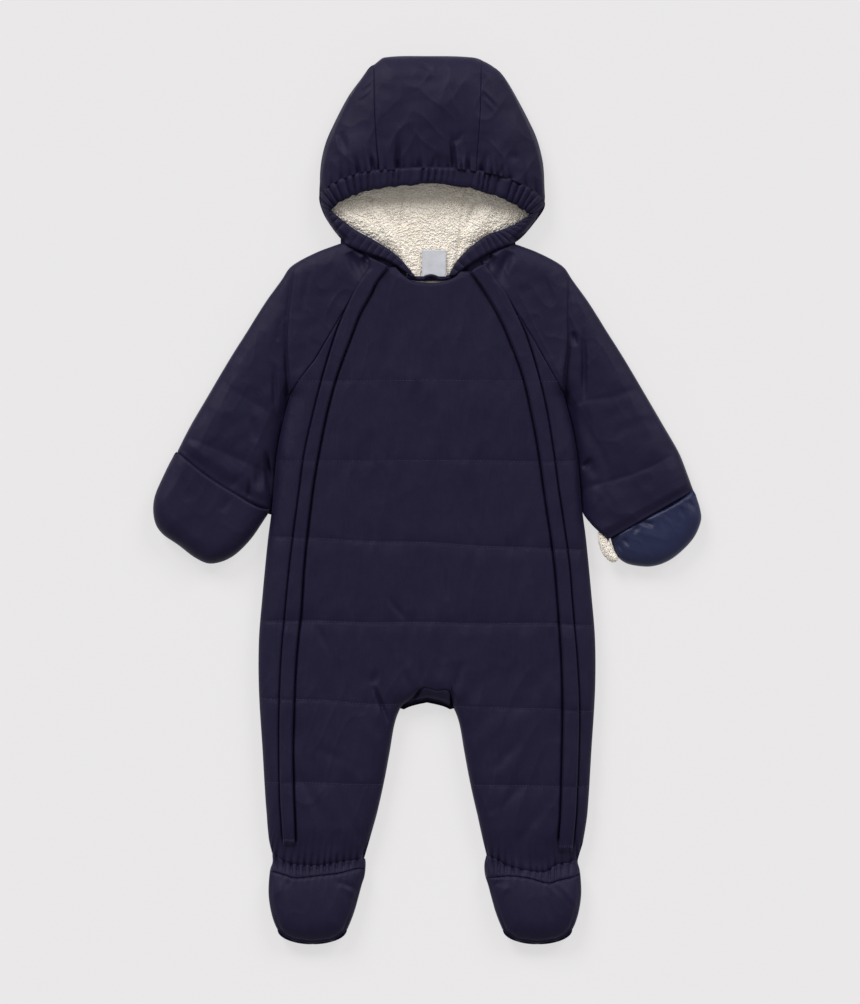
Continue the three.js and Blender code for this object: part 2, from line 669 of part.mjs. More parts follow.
// A raglan sleeve: one piece of cloth, folded at the upper arm, from the front seam to the back seam.
// bow is how far the wrist's edge curves out in its middle.
function sleeve(name, side, table, quiltRows, bow) {
  const front = [1, 0.93, 0.78, 0.5, 0.25, 0.1, 0.03]; // shares of the way from the fold to the seam
  const back = [0.04, 0.14, 0.5, 0.87, 1];
  const shares = [...front, 0, ...back];
  const foldColumn = front.length;
  const length = table.length - 1;
  const fold = { x: station(table, "x"), y: station(table, "y") };
  const seam = { x: station(table, "ix"), y: station(table, "iy") };
  const wide = 0.35;
  const rows = [...table.keys()].flatMap((k) => (k < 2 ? [k, k + 0.5] : [k]));
  for (const at of quiltRows) rows.push(at - wide, at, at + wide);
  rows.sort((a, b) => a - b);
  const place = (i, share) => {
    const t = rows[i] / length;
    const gap = share === 1 ? 3 * SEAM : 2 * SEAM;
    const out = bow * 4 * share * (1 - share) * clamp(rows[i] - length + 1, 0, 1);
    const x = mix(fold.x(t), seam.x(t) + gap, share) + 0.53 * out;
    return [side * x, mix(fold.y(t), seam.y(t), share) - 0.85 * out];
  };
  const quilted = (i) => quiltRows.reduce((sum, at) => sum + 2 * dip(rows[i] - at, 0.18), 0);
  const tucked = (i) => (rows[i] > length - 0.7 ? 1.2 : 0);
  const height = (i, j, x, y) => {
    if (j > foldColumn) return backHeight(x, y);
    if (j === foldColumn) return MID;
    const up = frontHeight(x, y) - quilted(i) - tucked(i);
    return Math.max(up, MID + EDGE);
  };
  return cloth(name, NAVY, {
    rows: rows.length - 1,
    columns: shares.length - 1,
    outside: (i, j) => {
      const [x, y] = place(i, shares[j]);
      return [x, y, height(i, j, x, y)];
    },
    inside: (i, j) => {
      const [ox, oy] = place(i, 0);
      const [sx, sy] = place(i, 1);
      const across = Math.hypot(sx - ox, sy - oy);
      const along = shares[j] * across;
      const back = Math.max(along, TURN + 0.3 * along) / across;
      const [x, y] = place(i, Math.min(back, 1));
      if (j === foldColumn) return [x, y, MID];
      if (j > foldColumn) return [x, y, MID - SEAM / 2];
      return [x, y, Math.max(MID + SEAM / 2, height(i, j, ...place(i, shares[j])) - WALL)];
    },
  });
}

// Half a mitten: the half that shows, or the half on the table.
function mitten(name, colour, table, upper, up) {
  const shares = upper ? [0, 0.35, 0.7, 0.9, 1] : [0, 0.5, 0.88, 1];
  const at = Object.fromEntries(["wx", "wy", "x", "y"].map((key) => [key, station(table, key)]));
  const count = 16;
  const outline = [sample(40, (t) => [at.x(t), at.y(t)])];
  const place = (i, j) => {
    const t = i / count;
    return [mix(at.wx(t), at.x(t), shares[j]), mix(at.wy(t), at.y(t), shares[j])];
  };
  const top = (x, y) => MID + EDGE + up * rounded(distanceTo(outline, x, y), MITTEN_ROUND);
  const under = (x, y) =>
    (MID - EDGE) * (1 - rounded(distanceTo(outline, x, y), BACK_ROUND));
  return cloth(name, colour, {
    rows: count,
    columns: shares.length - 1,
    outside: (i, j) => {
      const [x, y] = place(i, j);
      return [x, y, upper ? top(x, y) : under(x, y)];
    },
    inside: (i, j) => {
      const [x, y] = place(i, j);
      return [x, y, upper ? Math.max(MID + SEAM / 2, top(x, y) - WALL) : MID - SEAM / 2];
    },
  });
}

// The roll of plush along the inner side of the open mitten.
function plushEdge() {
  const turn = 8;
  const at = { x: station(PLUSH_EDGE, "x"), y: station(PLUSH_EDGE, "y") };
  const count = 10;
  const radius = (t) => 2 + 1.3 * Math.sin(Math.PI * t);
  const ring = (i, j, share) => {
    const t = i / count;
    const angle = (2 * Math.PI * j) / turn;
    const r = radius(t) * share;
    return [at.x(t) + r * Math.cos(angle), at.y(t), 13 + r * Math.sin(angle)];
  };
  return cloth("mitten_right_plush", CREAM, {
    rows: count,
    columns: turn,
    ring: true,
    outside: (i, j) => ring(i, j, 1),
    inside: (i, j) => ring(i, j, 0.25),
  });
}

// The gathered band round an ankle: a flat ring with a row of puckers on top.
function ankleBand(name, side) {
  const puckers = 14;
  const under = [0.97, 0.86, 0.5, 0.14, 0.03];
  const across = [...steps(2 * puckers), ...under];
  const lines = [0, 0.22, 0.5, 0.78, 1];
  const lift = [0, -1.2, 0.4, -0.4, 0];
  const top = ANKLE_TOP;
  const bottom = ANKLE_BOTTOM;
  const isUnder = (j) => j > 2 * puckers;
  const edgeAt = (j) => j === 0 || j === 2 * puckers;
  const place = (i, j) => {
    const y = mix(top, bottom, lines[i]);
    return [mix(footOuter(y), footInner(y), across[j]), y];
  };
  const height = (i, j) => {
    const [x, y] = place(i, j);
    if (edgeAt(j)) return MID;
    if (isUnder(j)) return backHeight(x, y);
    const pucker = PUCKER * (j % 2 ? 1 : -1) * (i === 0 || i === lines.length - 1 ? 0.5 : 1);
    return Math.max(frontHeight(x, y) + lift[i] + pucker, MID + EDGE);
  };
  return cloth(name, NAVY, {
    rows: lines.length - 1,
    columns: across.length,
    ring: true,
    outside: (i, j) => {
      const [x, y] = place(i, j);
      return [side * x, y, height(i, j)];
    },
    inside: (i, j) => {
      const y = mix(top, bottom, lines[i]);
      const [low, high] = [footInner(y) + TURN, footOuter(y) - TURN];
      const x = side * clamp(mix(footOuter(y), footInner(y), across[j]), low, high);
      if (edgeAt(j)) return [x + side * (j ? -1 : 1), y, MID];
      return [x, y, isUnder(j) ? MID - SEAM / 2 : MID + SEAM / 2];
    },
  });
}

// The upper or the sole of a foot, from the ankle band to the toe.
function foot(name, side, upper) {
  const shares = upper ? [0, 0.06, 0.2, 0.5, 0.8, 0.94, 1] : [0, 0.12, 0.5, 0.88, 1];
  const rows = [ANKLE_BOTTOM - SEAM, -362, -370, -382, -394, -405, -412, -417, -420.5, TOE];
  const toe = rows.length - 1;
  const edges = (i) => {
    if (i === toe) return [117, 97];
    if (i === toe - 1) return [123, 90.5];
    return [footOuter(rows[i]), footInner(rows[i])];
  };
  const place = (i, j) => {
    const [outer, inner] = edges(i);
    return [mix(outer, inner, shares[j]), rows[i]];
  };
  const height = (x, y) => (upper ? frontHeight(x, y) : backHeight(x, y));
  return cloth(name, NAVY, {
    rows: toe,
    columns: shares.length - 1,
    outside: (i, j) => {
      const [x, y] = place(i, j);
      return [side * x, y, height(x, y)];
    },
    inside: (i, j) => {
      const [x, y] = place(i, j);
      return [side * x, y, upper ? frontInside(height(x, y)) : MID - SEAM / 2];
    },
  });
}

// The gusset between the legs, on the front.
function gusset() {
  const columns = [-22, -12, 0, 12, 22];
  const seam = GUSSET_TOP - 2 * SEAM;
  const top = [-195.2, seam, seam, seam, -195.2];
  const lines = [0, 0.5, 1];
  const place = (i, j) => {
    const x = columns[j];
    return [x, mix(top[j], crotch(Math.abs(x)) - 0.6, lines[i])];
  };
  return cloth("crotch_gusset", NAVY, {
    rows: lines.length - 1,
    columns: columns.length - 1,
    outside: (i, j) => {
      const [x, y] = place(i, j);
      return [x, y, frontHeight(x, y)];
    },
    inside: (i, j) => [...place(i, j), MID + SEAM / 2],
  });
}

const hoodLeft = through(HOOD_SIDES, "y", "left");
const hoodRight = through(HOOD_SIDES, "y", "right");
const crown = through(CROWN, "x", "y");
const seamLeft = through(HOOD_SEAMS, "y", "left");
const seamRight = through(HOOD_SEAMS, "y", "right");
const brimLine = through(
  [BAND_LEFT[5], ...BAND_BRIM, BAND_RIGHT[0]].map(({ ox, oy }) => ({ x: ox, y: oy })),
  "x",
  "y",
);
const hoodEdges = [
  [
    ...HOOD_SIDES.map(({ left, y }) => [left, y]),
    ...CROWN.map(({ x, y }) => [x, y]),
    ...[...HOOD_SIDES].reverse().map(({ right, y }) => [right, y]),
  ],
];
const hoodHeight = (x, y) =>
  MID + EDGE + HOOD_LOFT * rounded(distanceTo(hoodEdges, x, y), HOOD_ROUND);
const hoodUnder = (x, y) =>
  (MID - EDGE) * (1 - rounded(distanceTo(hoodEdges, x, y), BACK_ROUND));
const hoodInside = (z) => Math.max(MID + SEAM / 2, z - HOOD_WALL);

// The hood's centre panel: from the brim over the crown to the nape.
function hoodCentre() {
  const over = [0, 0.25, 0.5, 0.72, 0.88, 0.97];
  const under = [0.975, 0.9, 0.5, 0];
  const rows = [...over, 1, ...under];
  const fold = over.length;
  const across = steps(6);
  const nape = 226 + 2 * SEAM;
  const place = (i, j) => {
    const guess = mix(-48, 48, across[j]);
    const low = i <= fold ? brimLine(guess) + SEAM : nape;
    const y = mix(low, crown(guess * 1.06), rows[i]);
    return [mix(seamLeft(y) + SEAM / 2, seamRight(y) - SEAM / 2, across[j]), y];
  };
  return cloth("hood_centre", NAVY, {
    rows: rows.length - 1,
    columns: across.length - 1,
    outside: (i, j) => {
      const [x, y] = place(i, j);
      if (i === fold) return [x, y, MID];
      return [x, y, i < fold ? hoodHeight(x, y) : hoodUnder(x, y)];
    },
    inside: (i, j) => {
      const [x, y] = place(i, j);
      const back = crown(x) - y;
      const set = y - Math.max(TURN - 0.7 * back, 0);
      if (i === fold) return [x, set, MID];
      return [x, set, i < fold ? hoodInside(hoodHeight(x, y)) : MID - SEAM / 2];
    },
  });
}

// A side panel of the hood: from the seam on top, round the side fold, to the seam underneath.
// neckTable is its neck edge on the underside, from that seam to the tip of the side fold.
function hoodSide(name, side, neckTable) {
  const over = [0, 0.22, 0.45, 0.68, 0.87, 0.96];
  const under = [0.95, 0.84, 0.4, 0];
  const shares = [...over, 1, ...under]; // from the centre seam to the side fold
  const fold = over.length;
  const lines = [0, 0.12, 0.3, 0.5, 0.7, 0.86, 1];
  const shoulder = { seam: 410, fold: 407 };
  const clear = 3.8; // the side fold's end stays this far off the band
  const edge = side < 0 ? hoodLeft : hoodRight;
  const seam = (y) => (side < 0 ? seamLeft(y) : seamRight(y)) + side * SEAM;
  const neck = { x: station(neckTable, "x"), y: station(neckTable, "y") };
  const [start, tip] = [neckTable[0], neckTable[neckTable.length - 1]];
  const brimSeam = { x: seam(BRIM_SEAM_ROW), y: brimLine(seam(BRIM_SEAM_ROW)) };
  const place = (i, j) => {
    const t = lines[i];
    const s = shares[j];
    const foldY = mix(shoulder.fold, tip.y, t);
    const isOver = j <= fold;
    const seamY = mix(shoulder.seam, isOver ? brimSeam.y + SEAM : start.y, t);
    const x = mix(seam(seamY), edge(foldY), s);
    const y = mix(seamY, foldY, s);
    if (j === fold) return [x, y];
    if (isOver) {
      const brim = brimLine(mix(brimSeam.x, edge(tip.y), s));
      return [x, y + t * (brim + clear * s - mix(brimSeam.y, tip.y, s))];
    }
    const dx = neck.x(s) - mix(start.x, edge(tip.y), s);
    return [x + t * dx, y + t * (neck.y(s) - mix(start.y, tip.y, s))];
  };
  return cloth(name, NAVY, {
    rows: lines.length - 1,
    columns: shares.length - 1,
    outside: (i, j) => {
      const [x, y] = place(i, j);
      if (j === fold) return [x, y, MID];
      return [x, y, j < fold ? hoodHeight(x, y) : hoodUnder(x, y)];
    },
    inside: (i, j) => {
      const [x, y] = place(i, j);
      const far = distanceTo(hoodEdges, x, y);
      const back = Math.min(Math.max(TURN - far, 0), 0.6 * Math.abs(x - seam(y)));
      const set = x - side * back;
      if (j === fold) return [set, y, MID];
      return [set, y, j < fold ? hoodInside(hoodHeight(x, y)) : MID - SEAM / 2];
    },
  });
}

// The elastic band round the face, in puckers.
function faceBand() {
  const table = [...BAND_LEFT, ...BAND_BRIM, ...BAND_RIGHT];
  const at = Object.fromEntries(Object.keys(table[0]).map((key) => [key, station(table, key)]));
  const count = 2 * BAND_PUCKERS;
  const shares = [0, 0.4, 0.8, 1];
  const lift = [0, 0.6, 0, -2.5];
  const top = (i, j) => {
    const t = i / count;
    const x = mix(at.ox(t), at.ix(t), shares[j]);
    const y = mix(at.oy(t), at.iy(t), shares[j]);
    const pucker = PUCKER * (i % 2 ? 1 : -1) * (j === 3 ? 0.4 : 1);
    const high = Math.min(at.top(t), hoodHeight(x, y)) + lift[j] + pucker;
    return [x, y, Math.max(high, at.under(t) + EDGE)];
  };
  return cloth("face_band", NAVY, {
    rows: count,
    columns: shares.length - 1,
    outside: top,
    inside: (i, j) => {
      const [x, y] = top(i, j);
      return [x, y, at.under(i / count)];
    },
  });
}

// The plush lining that shows in the face opening, in three pieces with a seam between them.
const liningLow = through(LINING, "x", "low");
const liningHigh = through(LINING, "x", "high");
function lining(name, from, to) {
  const columns = 5;
  const lines = [0, 0.12, 0.4, 0.75, 1];
  const place = (i, j) => {
    const t = lines[i];
    const start = mix(from(0), from(1), t);
    const end = mix(to(0), to(1), t);
    const x = mix(start, end, j / columns);
    return [x, mix(liningLow(x), liningHigh(x), t)];
  };
  return cloth(name, CREAM, {
    rows: lines.length - 1,
    columns,
    outside: (i, j) => {
      const [x, y] = place(i, j);
      const low = y - liningLow(x);
      return [x, y, MID + SEAM / 2 + 1.2 + (PLUSH - 1.2) * rounded(low, 14)];
    },
    inside: (i, j) => [...place(i, j), MID + SEAM / 2],
  });
}
const liningSeam = ({ at, lean }) => (t) => at + lean * 55 * (t - 0.3);
const [leftSeam, rightSeam] = [liningSeam(LINING_SEAMS.left), liningSeam(LINING_SEAMS.right)];

// The sewn-in label, left bare, and the hanger loop over its lower edge.
function label() {
  const [left, right, low, high] = [-4.75, 18, 212, 237.5];
  const point = (i, j, z) => [mix(left, right, j), mix(low, high, i / 2), z + 0.3 * i];
  return cloth("neck_label", LABEL_WHITE, {
    rows: 2,
    columns: 1,
    outside: (i, j) => point(i, j, 14.4),
    inside: (i, j) => point(i, j, 13.4),
  });
}
function hangerLoop() {
  const arch = [
    { x: -3.8, y: 209.8 },
    { x: -1.5, y: 211.8 },
    { x: 3.8, y: 213.2 },
    { x: 9, y: 211.8 },
    { x: 11.4, y: 209.8 },
  ];
  const at = { x: station(arch, "x"), y: station(arch, "y") };
  const count = 10;
  const turn = 6;
  const ring = (i, j, r) => {
    const angle = (2 * Math.PI * j) / turn;
    const t = i / count;
    const lean = Math.cos(Math.PI * t);
    return [
      at.x(t) - r * Math.cos(angle) * lean,
      at.y(t) + r * Math.cos(angle) * Math.sqrt(1 - lean * lean),
      16.2 + r * Math.sin(angle),
    ];
  };
  return cloth("hanger_loop", NAVY, {
    rows: count,
    columns: turn,
    ring: true,
    outside: (i, j) => ring(i, j, 1),
    inside: (i, j) => ring(i, j, 0.25),
  });
}

const suit = new THREE.Group();
suit.add(
  hoodCentre(),
  hoodSide("hood_side_left", -1, NECK_LEFT),
  hoodSide("hood_side_right", 1, NECK_RIGHT),
  faceBand(),
  lining("lining_left", () => -87, (t) => leftSeam(t) - SEAM),
  lining("lining_centre", leftSeam, rightSeam),
  lining("lining_right", (t) => rightSeam(t) + SEAM, () => 92),
  label(),
  hangerLoop(),
  centreFront(),
  sideFront("front_side_left", -1),
  sideFront("front_side_right", 1),
  zip("zip_left", -1),
  zip("zip_right", 1),
  zipFlap("zip_flap_left", -1),
  zipFlap("zip_flap_right", 1),
  backPanel(),
  gusset(),
  sleeve("sleeve_left", -1, SLEEVE_LEFT, [8.6, 10.5], 6),
  sleeve("sleeve_right", 1, SLEEVE_RIGHT, [8.6, 10.9], 0),
  mitten("mitten_left_flap", NAVY, MITTEN_LEFT, true, MITTEN_UP.folded),
  mitten("mitten_left_back", NAVY, MITTEN_LEFT, false, 0),
  mitten("mitten_right_lining", NAVY_SATIN, MITTEN_RIGHT, true, MITTEN_UP.open),
  mitten("mitten_right_shell", NAVY, MITTEN_RIGHT, false, 0),
  plushEdge(),
  ankleBand("ankle_band_left", -1),
  ankleBand("ankle_band_right", 1),
  foot("foot_upper_left", -1, true),
  foot("foot_upper_right", 1, true),
  foot("foot_sole_left", -1, false),
  foot("foot_sole_right", 1, false),
);

export default suit;
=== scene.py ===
import math

import bpy
import numpy as np
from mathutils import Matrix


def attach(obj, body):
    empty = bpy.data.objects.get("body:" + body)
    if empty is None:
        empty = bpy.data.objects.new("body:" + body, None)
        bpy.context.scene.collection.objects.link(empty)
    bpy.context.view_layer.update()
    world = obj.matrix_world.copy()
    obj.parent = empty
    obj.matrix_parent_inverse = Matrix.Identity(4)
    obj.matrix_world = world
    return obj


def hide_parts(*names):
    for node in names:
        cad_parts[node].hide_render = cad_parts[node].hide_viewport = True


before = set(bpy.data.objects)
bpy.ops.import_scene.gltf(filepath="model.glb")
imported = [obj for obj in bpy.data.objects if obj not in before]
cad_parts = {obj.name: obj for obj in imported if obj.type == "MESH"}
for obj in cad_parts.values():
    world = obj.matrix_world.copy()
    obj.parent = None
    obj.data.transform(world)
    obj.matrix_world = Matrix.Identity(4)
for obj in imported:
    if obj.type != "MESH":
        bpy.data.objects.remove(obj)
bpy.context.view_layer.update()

# Back: one padded panel from the nape to both ankles, of navy polyester over wadding and plush.
# It lies flat on the table and curls up at its rims to meet the front at the side seams.
# Places are in millimetres, seen from above, and only turned into metres when a mesh is made.
MID, EDGE, SEAM = 9.0, 1.2, 0.3
RIM = MID + EDGE
BACK_ROUND = 13
SIDES = ((-1, "left"), (1, "right"))
# Levels from the armpits to the toes, then the arc that closes a toe: its middle, half width, start
# and depth.
ARMPIT, CROTCH_ROW, ANKLE, TOE = 99, -198, -337, -422
TOE_MIDDLE, TOE_HALF, TOE_FROM, TOE_DEEP = 107, 33, -408, 14.07


def curve(keys, values):
    """A smooth curve through places: one number as a function of another."""
    order = np.argsort(keys)
    k, v = np.array(keys, float)[order], np.array(values, float)[order]
    after = np.append(np.arange(1, len(k)), len(k) - 1)
    before = np.append(0, np.arange(len(k) - 1))
    slope = (v[after] - v[before]) / (k[after] - k[before])

    def at(x):
        x = np.clip(np.asarray(x, float), k[0], k[-1])
        i = np.clip(np.searchsorted(k, x, side="right") - 1, 0, len(k) - 2)
        span = k[i + 1] - k[i]
        t = (x - k[i]) / span
        rise = t * t * (3 - 2 * t)
        bend = span * t * (1 - t) * ((1 - t) * slope[i] - t * slope[i + 1])
        return v[i] * (1 - rise) + v[i + 1] * rise + bend

    at.ends = keys[0], keys[-1]
    return at


def station(values):
    """The same along an outline that turns back on itself: 0 is its first place, 1 its last."""
    return curve(np.linspace(0, 1, len(values)), values)


def blend(a, b, t):
    return a + (b - a) * t


def ramp(value, start, end):
    return np.clip((value - start) / (end - start), 0, 1)


def step(n):
    return np.linspace(0, 1, n + 1)


def column(n):
    return step(n)[:, None]


def traced(line, n):
    y = blend(*line.ends, step(n))
    return line(y), y


def distance(lines, x, y):
    """How far each point is from the nearest of some lines, each given as its x and its y."""
    x, y = np.broadcast_arrays(np.asarray(x, float), np.asarray(y, float))
    least = np.full(x.shape, 1e9)
    for px, py in lines:
        for ax, ay, bx, by in zip(px[:-1], py[:-1], px[1:], py[1:]):
            long = max((bx - ax) ** 2 + (by - ay) ** 2, 1e-9)
            t = np.clip(((x - ax) * (bx - ax) + (y - ay) * (by - ay)) / long, 0, 1)
            gap = (x - ax - t * (bx - ax)) ** 2 + (y - ay - t * (by - ay)) ** 2
            np.minimum(least, gap, out=least)
    return np.sqrt(least)


def rounded(far, radius):
    """A quarter circle's rise: 0 at an edge, 1 from the radius on."""
    return np.sqrt(1 - (1 - ramp(far, 0, radius)) ** 2)


def dip(far, wide):
    return np.exp(-((far / wide) ** 2))


def sway(y):
    """The feet lie a little to the left of their mirrored places."""
    return -2 * ramp(y, -300, -350)


def shown(name, data):
    piece = bpy.data.objects.new(name, data)
    bpy.context.collection.objects.link(piece)
    return piece


def meshed(name, points, faces, finish):
    """A smooth piece of points in millimetres, with a map for the weave."""
    mesh = bpy.data.meshes.new(name)
    mesh.from_pydata((points / 1000).tolist(), [], faces)
    mesh.polygons.foreach_set("use_smooth", np.ones(len(faces), bool))
    mesh.uv_layers.new(name="weave")
    mesh.materials.append(finish)
    return shown(name, mesh)


def cloth(name, x, y, z, finish, keep=None, grain=0.0, turn=5.5, ring=False, inward=False):
    """A panel as a thin shell: a grid of points, with its rim turned in by `turn` millimetres.

    keep says which cells are cloth, grain is the direction of the weave in degrees, a ring's last
    column is its first one again, and inward cloth shows its face to the inside of the suit."""
    x, y, z = np.broadcast_arrays(np.asarray(x, float), y, z)
    number = np.arange(x.size).reshape(x.shape)
    if ring:
        number[:, -1] = number[:, 0]
    faces = np.stack([number[:-1, :-1], number[1:, :-1], number[1:, 1:], number[:-1, 1:]], -1)
    faces = faces[keep] if keep is not None else faces.reshape(-1, 4)
    points = np.stack([x, y, z], -1).reshape(-1, 3)
    a, b, c, d = (points[faces[:, k]] for k in range(4))
    up = np.cross(c - a, d - b)[:, 2] * np.sign((a + c)[:, 2] / 2 - MID)
    if (up.sum() > 0) == inward:
        faces = faces[:, ::-1]
    edges = np.concatenate([faces[:, [k, (k + 1) % 4]] for k in range(4)])
    key = edges.min(1) * len(points) + edges.max(1)
    _, first, seen = np.unique(key, return_index=True, return_counts=True)
    rim = edges[first[seen == 1]]
    used = np.unique(rim)
    below = np.zeros(len(points), int)
    below[used] = len(points) + np.arange(len(used))
    under = points[used].copy()
    height = under[:, 2]
    down = np.maximum(height - turn, np.minimum(MID, height - 0.2))
    up = np.minimum(height + turn, np.maximum(MID, height + 0.2))
    under[:, 2] = np.where(height > MID, down, up)
    turned = np.stack([rim[:, 1], rim[:, 0], below[rim[:, 0]], below[rim[:, 1]]], -1)
    kept, faces = np.unique(np.concatenate([faces, turned]), return_inverse=True)
    points, faces = np.concatenate([points, under])[kept], faces.reshape(-1, 4)
    along, across = math.cos(math.radians(grain)), math.sin(math.radians(grain))
    weave = points[:, :2] @ np.array([[along, -across], [across, along]]) / 1000
    points[:, 0] += sway(points[:, 1])
    piece = meshed(name, points, faces.tolist(), finish)
    piece.data.uv_layers["weave"].data.foreach_set("uv", weave[faces].ravel())
    piece.data.validate()
    return piece


def sewn(piece, node, slot, flat, area=None, held="laid", on=None):
    """Fixes a panel to the suit in place of its solid, which it hides; its cut's flat size in metres is not
    used.
    """
    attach(piece, "root")
    if node:
        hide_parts(node)


class Value:
    """A node's socket, so that sums on sockets read as plain expressions."""

    def __init__(self, tree, socket=None):
        self.tree, self.socket = tree, socket

    def node(self, kind, inputs=None, out=0, **settings):
        made = self.tree.nodes.new(kind)
        for name, setting in settings.items():
            setattr(made, name, setting)
        for name, value in (inputs or {}).items():
            if isinstance(value, Value):
                value.feed(made, name)
            else:
                made.inputs[name].default_value = value
        return Value(self.tree, made.outputs[out])

    def maths(self, operation, other=0.0):
        return self.node("ShaderNodeMath", {0: self, 1: other}, operation=operation)

    def __add__(self, other):
        return self.maths("ADD", other)

    def __sub__(self, other):
        return self.maths("SUBTRACT", other)

    def __mul__(self, other):
        return self.maths("MULTIPLY", other)

    def sine(self):
        return self.maths("SINE")

    def part(self, axis):
        return self.node("ShaderNodeSeparateXYZ", {"Vector": self}, axis)

    def noise(self, scale, detail=2.0, roughness=0.5):
        inputs = {"Vector": self, "Scale": scale, "Detail": detail, "Roughness": roughness}
        return self.node("ShaderNodeTexNoise", inputs)

    def tint(self, a, b):
        return self.node("ShaderNodeMix", {0: self, 6: (*a, 1), 7: (*b, 1)}, 2, data_type="RGBA")

    def bump(self, strength, deep):
        inputs = {"Strength": strength, "Distance": deep, "Height": self}
        return self.node("ShaderNodeBump", inputs, "Normal")

    def feed(self, node, name):
        self.tree.links.new(self.socket, node.inputs[name])


def finish_of(name, roughness, specular, sheen=0.0, sheen_tint=(1, 1, 1)):
    """A finish, its shader and the place on the suit that its patterns start from."""
    made = bpy.data.materials.new(name)
    made.use_nodes = True
    shader = made.node_tree.nodes["Principled BSDF"]
    inputs = {"Roughness": roughness, "Specular IOR Level": specular, "Sheen Weight": sheen,
              "Sheen Roughness": 0.4, "Sheen Tint": (*sheen_tint, 1)}
    for key, value in inputs.items():
        shader.inputs[key].default_value = value
    return made, shader, Value(made.node_tree).node("ShaderNodeTexCoord", out="Object")


def woven(name, dark, light, roughness, specular, thread, crush_depth):
    """A plain weave of fine polyester threads, in metres, with slubs, a slightly crushed face and long
    streaks; its colour holds painted shade, lighter on the raised streaks and darker in the low ones.
    """
    made, shader, place = finish_of(name, roughness, specular, 0.055, (0.62, 0.6, 0.85))
    at = place.node("ShaderNodeUVMap", uv_map="weave")
    turns = 2 * math.pi / thread
    weave = (at.part("X") * turns).sine() * (at.part("Y") * turns).sine()
    drawn = at.node("ShaderNodeMapping", {"Vector": at, "Scale": (1.0, 0.1, 1.0)})
    slub, streak = drawn.noise(1100.0), drawn.noise(360.0)
    crush = place.noise(110.0, 4.0, 0.62)
    # Colour: the cloth's uneven tone from the large noise, slubs and crush, plus painted shade along the
    # streaks, lighter where they rise and darker where they sink.
    tone_and_painted_shade = place.noise(30.0, 3.0) * 0.6 + slub * 0.3 + streak * 0.5 + crush * 0.3 - 0.35
    tone_and_painted_shade.tint(dark, light).feed(shader, "Base Color")
    (crush * 0.2 + (roughness - 0.1)).feed(shader, "Roughness")
    relief = weave * 0.04 + slub * 0.14 + streak * 0.25 + crush * crush_depth
    relief.bump(0.6, 0.0006).feed(shader, "Normal")
    return made


shell = woven("navy shell cloth", (0.0060, 0.0044, 0.0190), (0.0112, 0.0088, 0.0305),
              0.54, 0.13, 0.00042, 0.8)

body_edge = curve(
    [99, 77, 47, 24, -7, -38, -95, -133, -180, -238, -294, -323, -337],
    [130.5, 136.5, 142.5, 145, 147.5, 151.5, 157, 160, 160, 156.5, 153, 149.5, 145.5])
inseam = curve(
    [-197, -205, -216, -238, -266, -294, -323, -337],
    [25, 28.5, 31.5, 35.2, 40.4, 46.6, 54, 58])
crotch = curve([0, 9.5, 18, 25.2], [-188.5, -190.5, -193, -197])
foot_outer = curve(
    [-337, -344, -351, -363, -375, -387, -399, -408, -415, -419.5],
    [145.5, 145, 147, 148.3, 148.5, 147, 144, 140, 134, 125])
foot_inner = curve(
    [-337, -344, -351, -358, -365, -377, -391, -404, -412, -419.5],
    [58, 56.5, 56.5, 57.5, 59.8, 63, 67, 72, 76.5, 88])
# Each sleeve: its upper-arm fold (x, y) and, opposite, the raglan seam that goes over into the
# underarm edge at the armpit (ix, iy). The right one is longer, as its mitten isn't folded back.
UPPER_ARM = {
    "x": [81.5, 92, 104, 119.7, 130.6, 138.2, 152, 162, 170, 188, 210.4, 225],
    "y": [244, 240.3, 235.7, 228, 220.4, 209, 190, 174.5, 161.5, 133, 95, 70],
}
SLEEVES = {
    -1: {
        "x": UPPER_ARM["x"] + [236.5],
        "y": UPPER_ARM["y"] + [47.5],
        "ix": [52.5, 62.5, 69.3, 77.9, 87, 97, 107, 120.2, 130.8, 137, 143, 145.8, 148.6],
        "iy": [224, 207, 195.7, 181.5, 166.5, 149.7, 133, 115.9, 99.5, 77, 48, 22, -7.4],
    },
    1: {
        "x": UPPER_ARM["x"] + [239, 246.5, 253],
        "y": UPPER_ARM["y"] + [45.6, 27, 9],
        "ix": [54, 66, 74.5, 83, 91, 100, 110, 120.5, 131, 137, 143, 145.8, 148, 157, 173],
        "iy": [224, 207, 195.7, 181.8, 169.5, 155, 137.2, 118.5, 99.5, 77, 48, 22, -6, -21, -36.5],
    },
}
RAGLAN_ROWS = 9  # the rows of these tables down to the armpit
raglan_lines = {side: [table[key][:RAGLAN_ROWS] for key in ("ix", "iy")] for side, table in SLEEVES.items()}
raglan = {side: curve(line[1], line[0]) for side, line in raglan_lines.items()}
outer_line, inner_line = traced(foot_outer, 20), traced(foot_inner, 20)
arch = 25 * step(8)
SUIT_EDGES = [
    traced(body_edge, 30),
    traced(inseam, 16),
    (arch, crotch(arch)),
    (SLEEVES[1]["x"], SLEEVES[1]["y"]),
    (np.r_[outer_line[0], TOE_MIDDLE, inner_line[0][::-1]], np.r_[outer_line[1], TOE, inner_line[1][::-1]]),
]


def inside(x, y):
    """How far in from the suit's outline a place is."""
    return distance(SUIT_EDGES, np.abs(x), y)


def curled(far):
    """Height of the outside of what lies on the table: 0, and up at its rims."""
    return (MID - EDGE) * (1 - rounded(far, BACK_ROUND))


def side_seam(side, y, gap):
    return np.where(y > ARMPIT, raglan[side](y) - 2 * SEAM, body_edge(y) - gap)


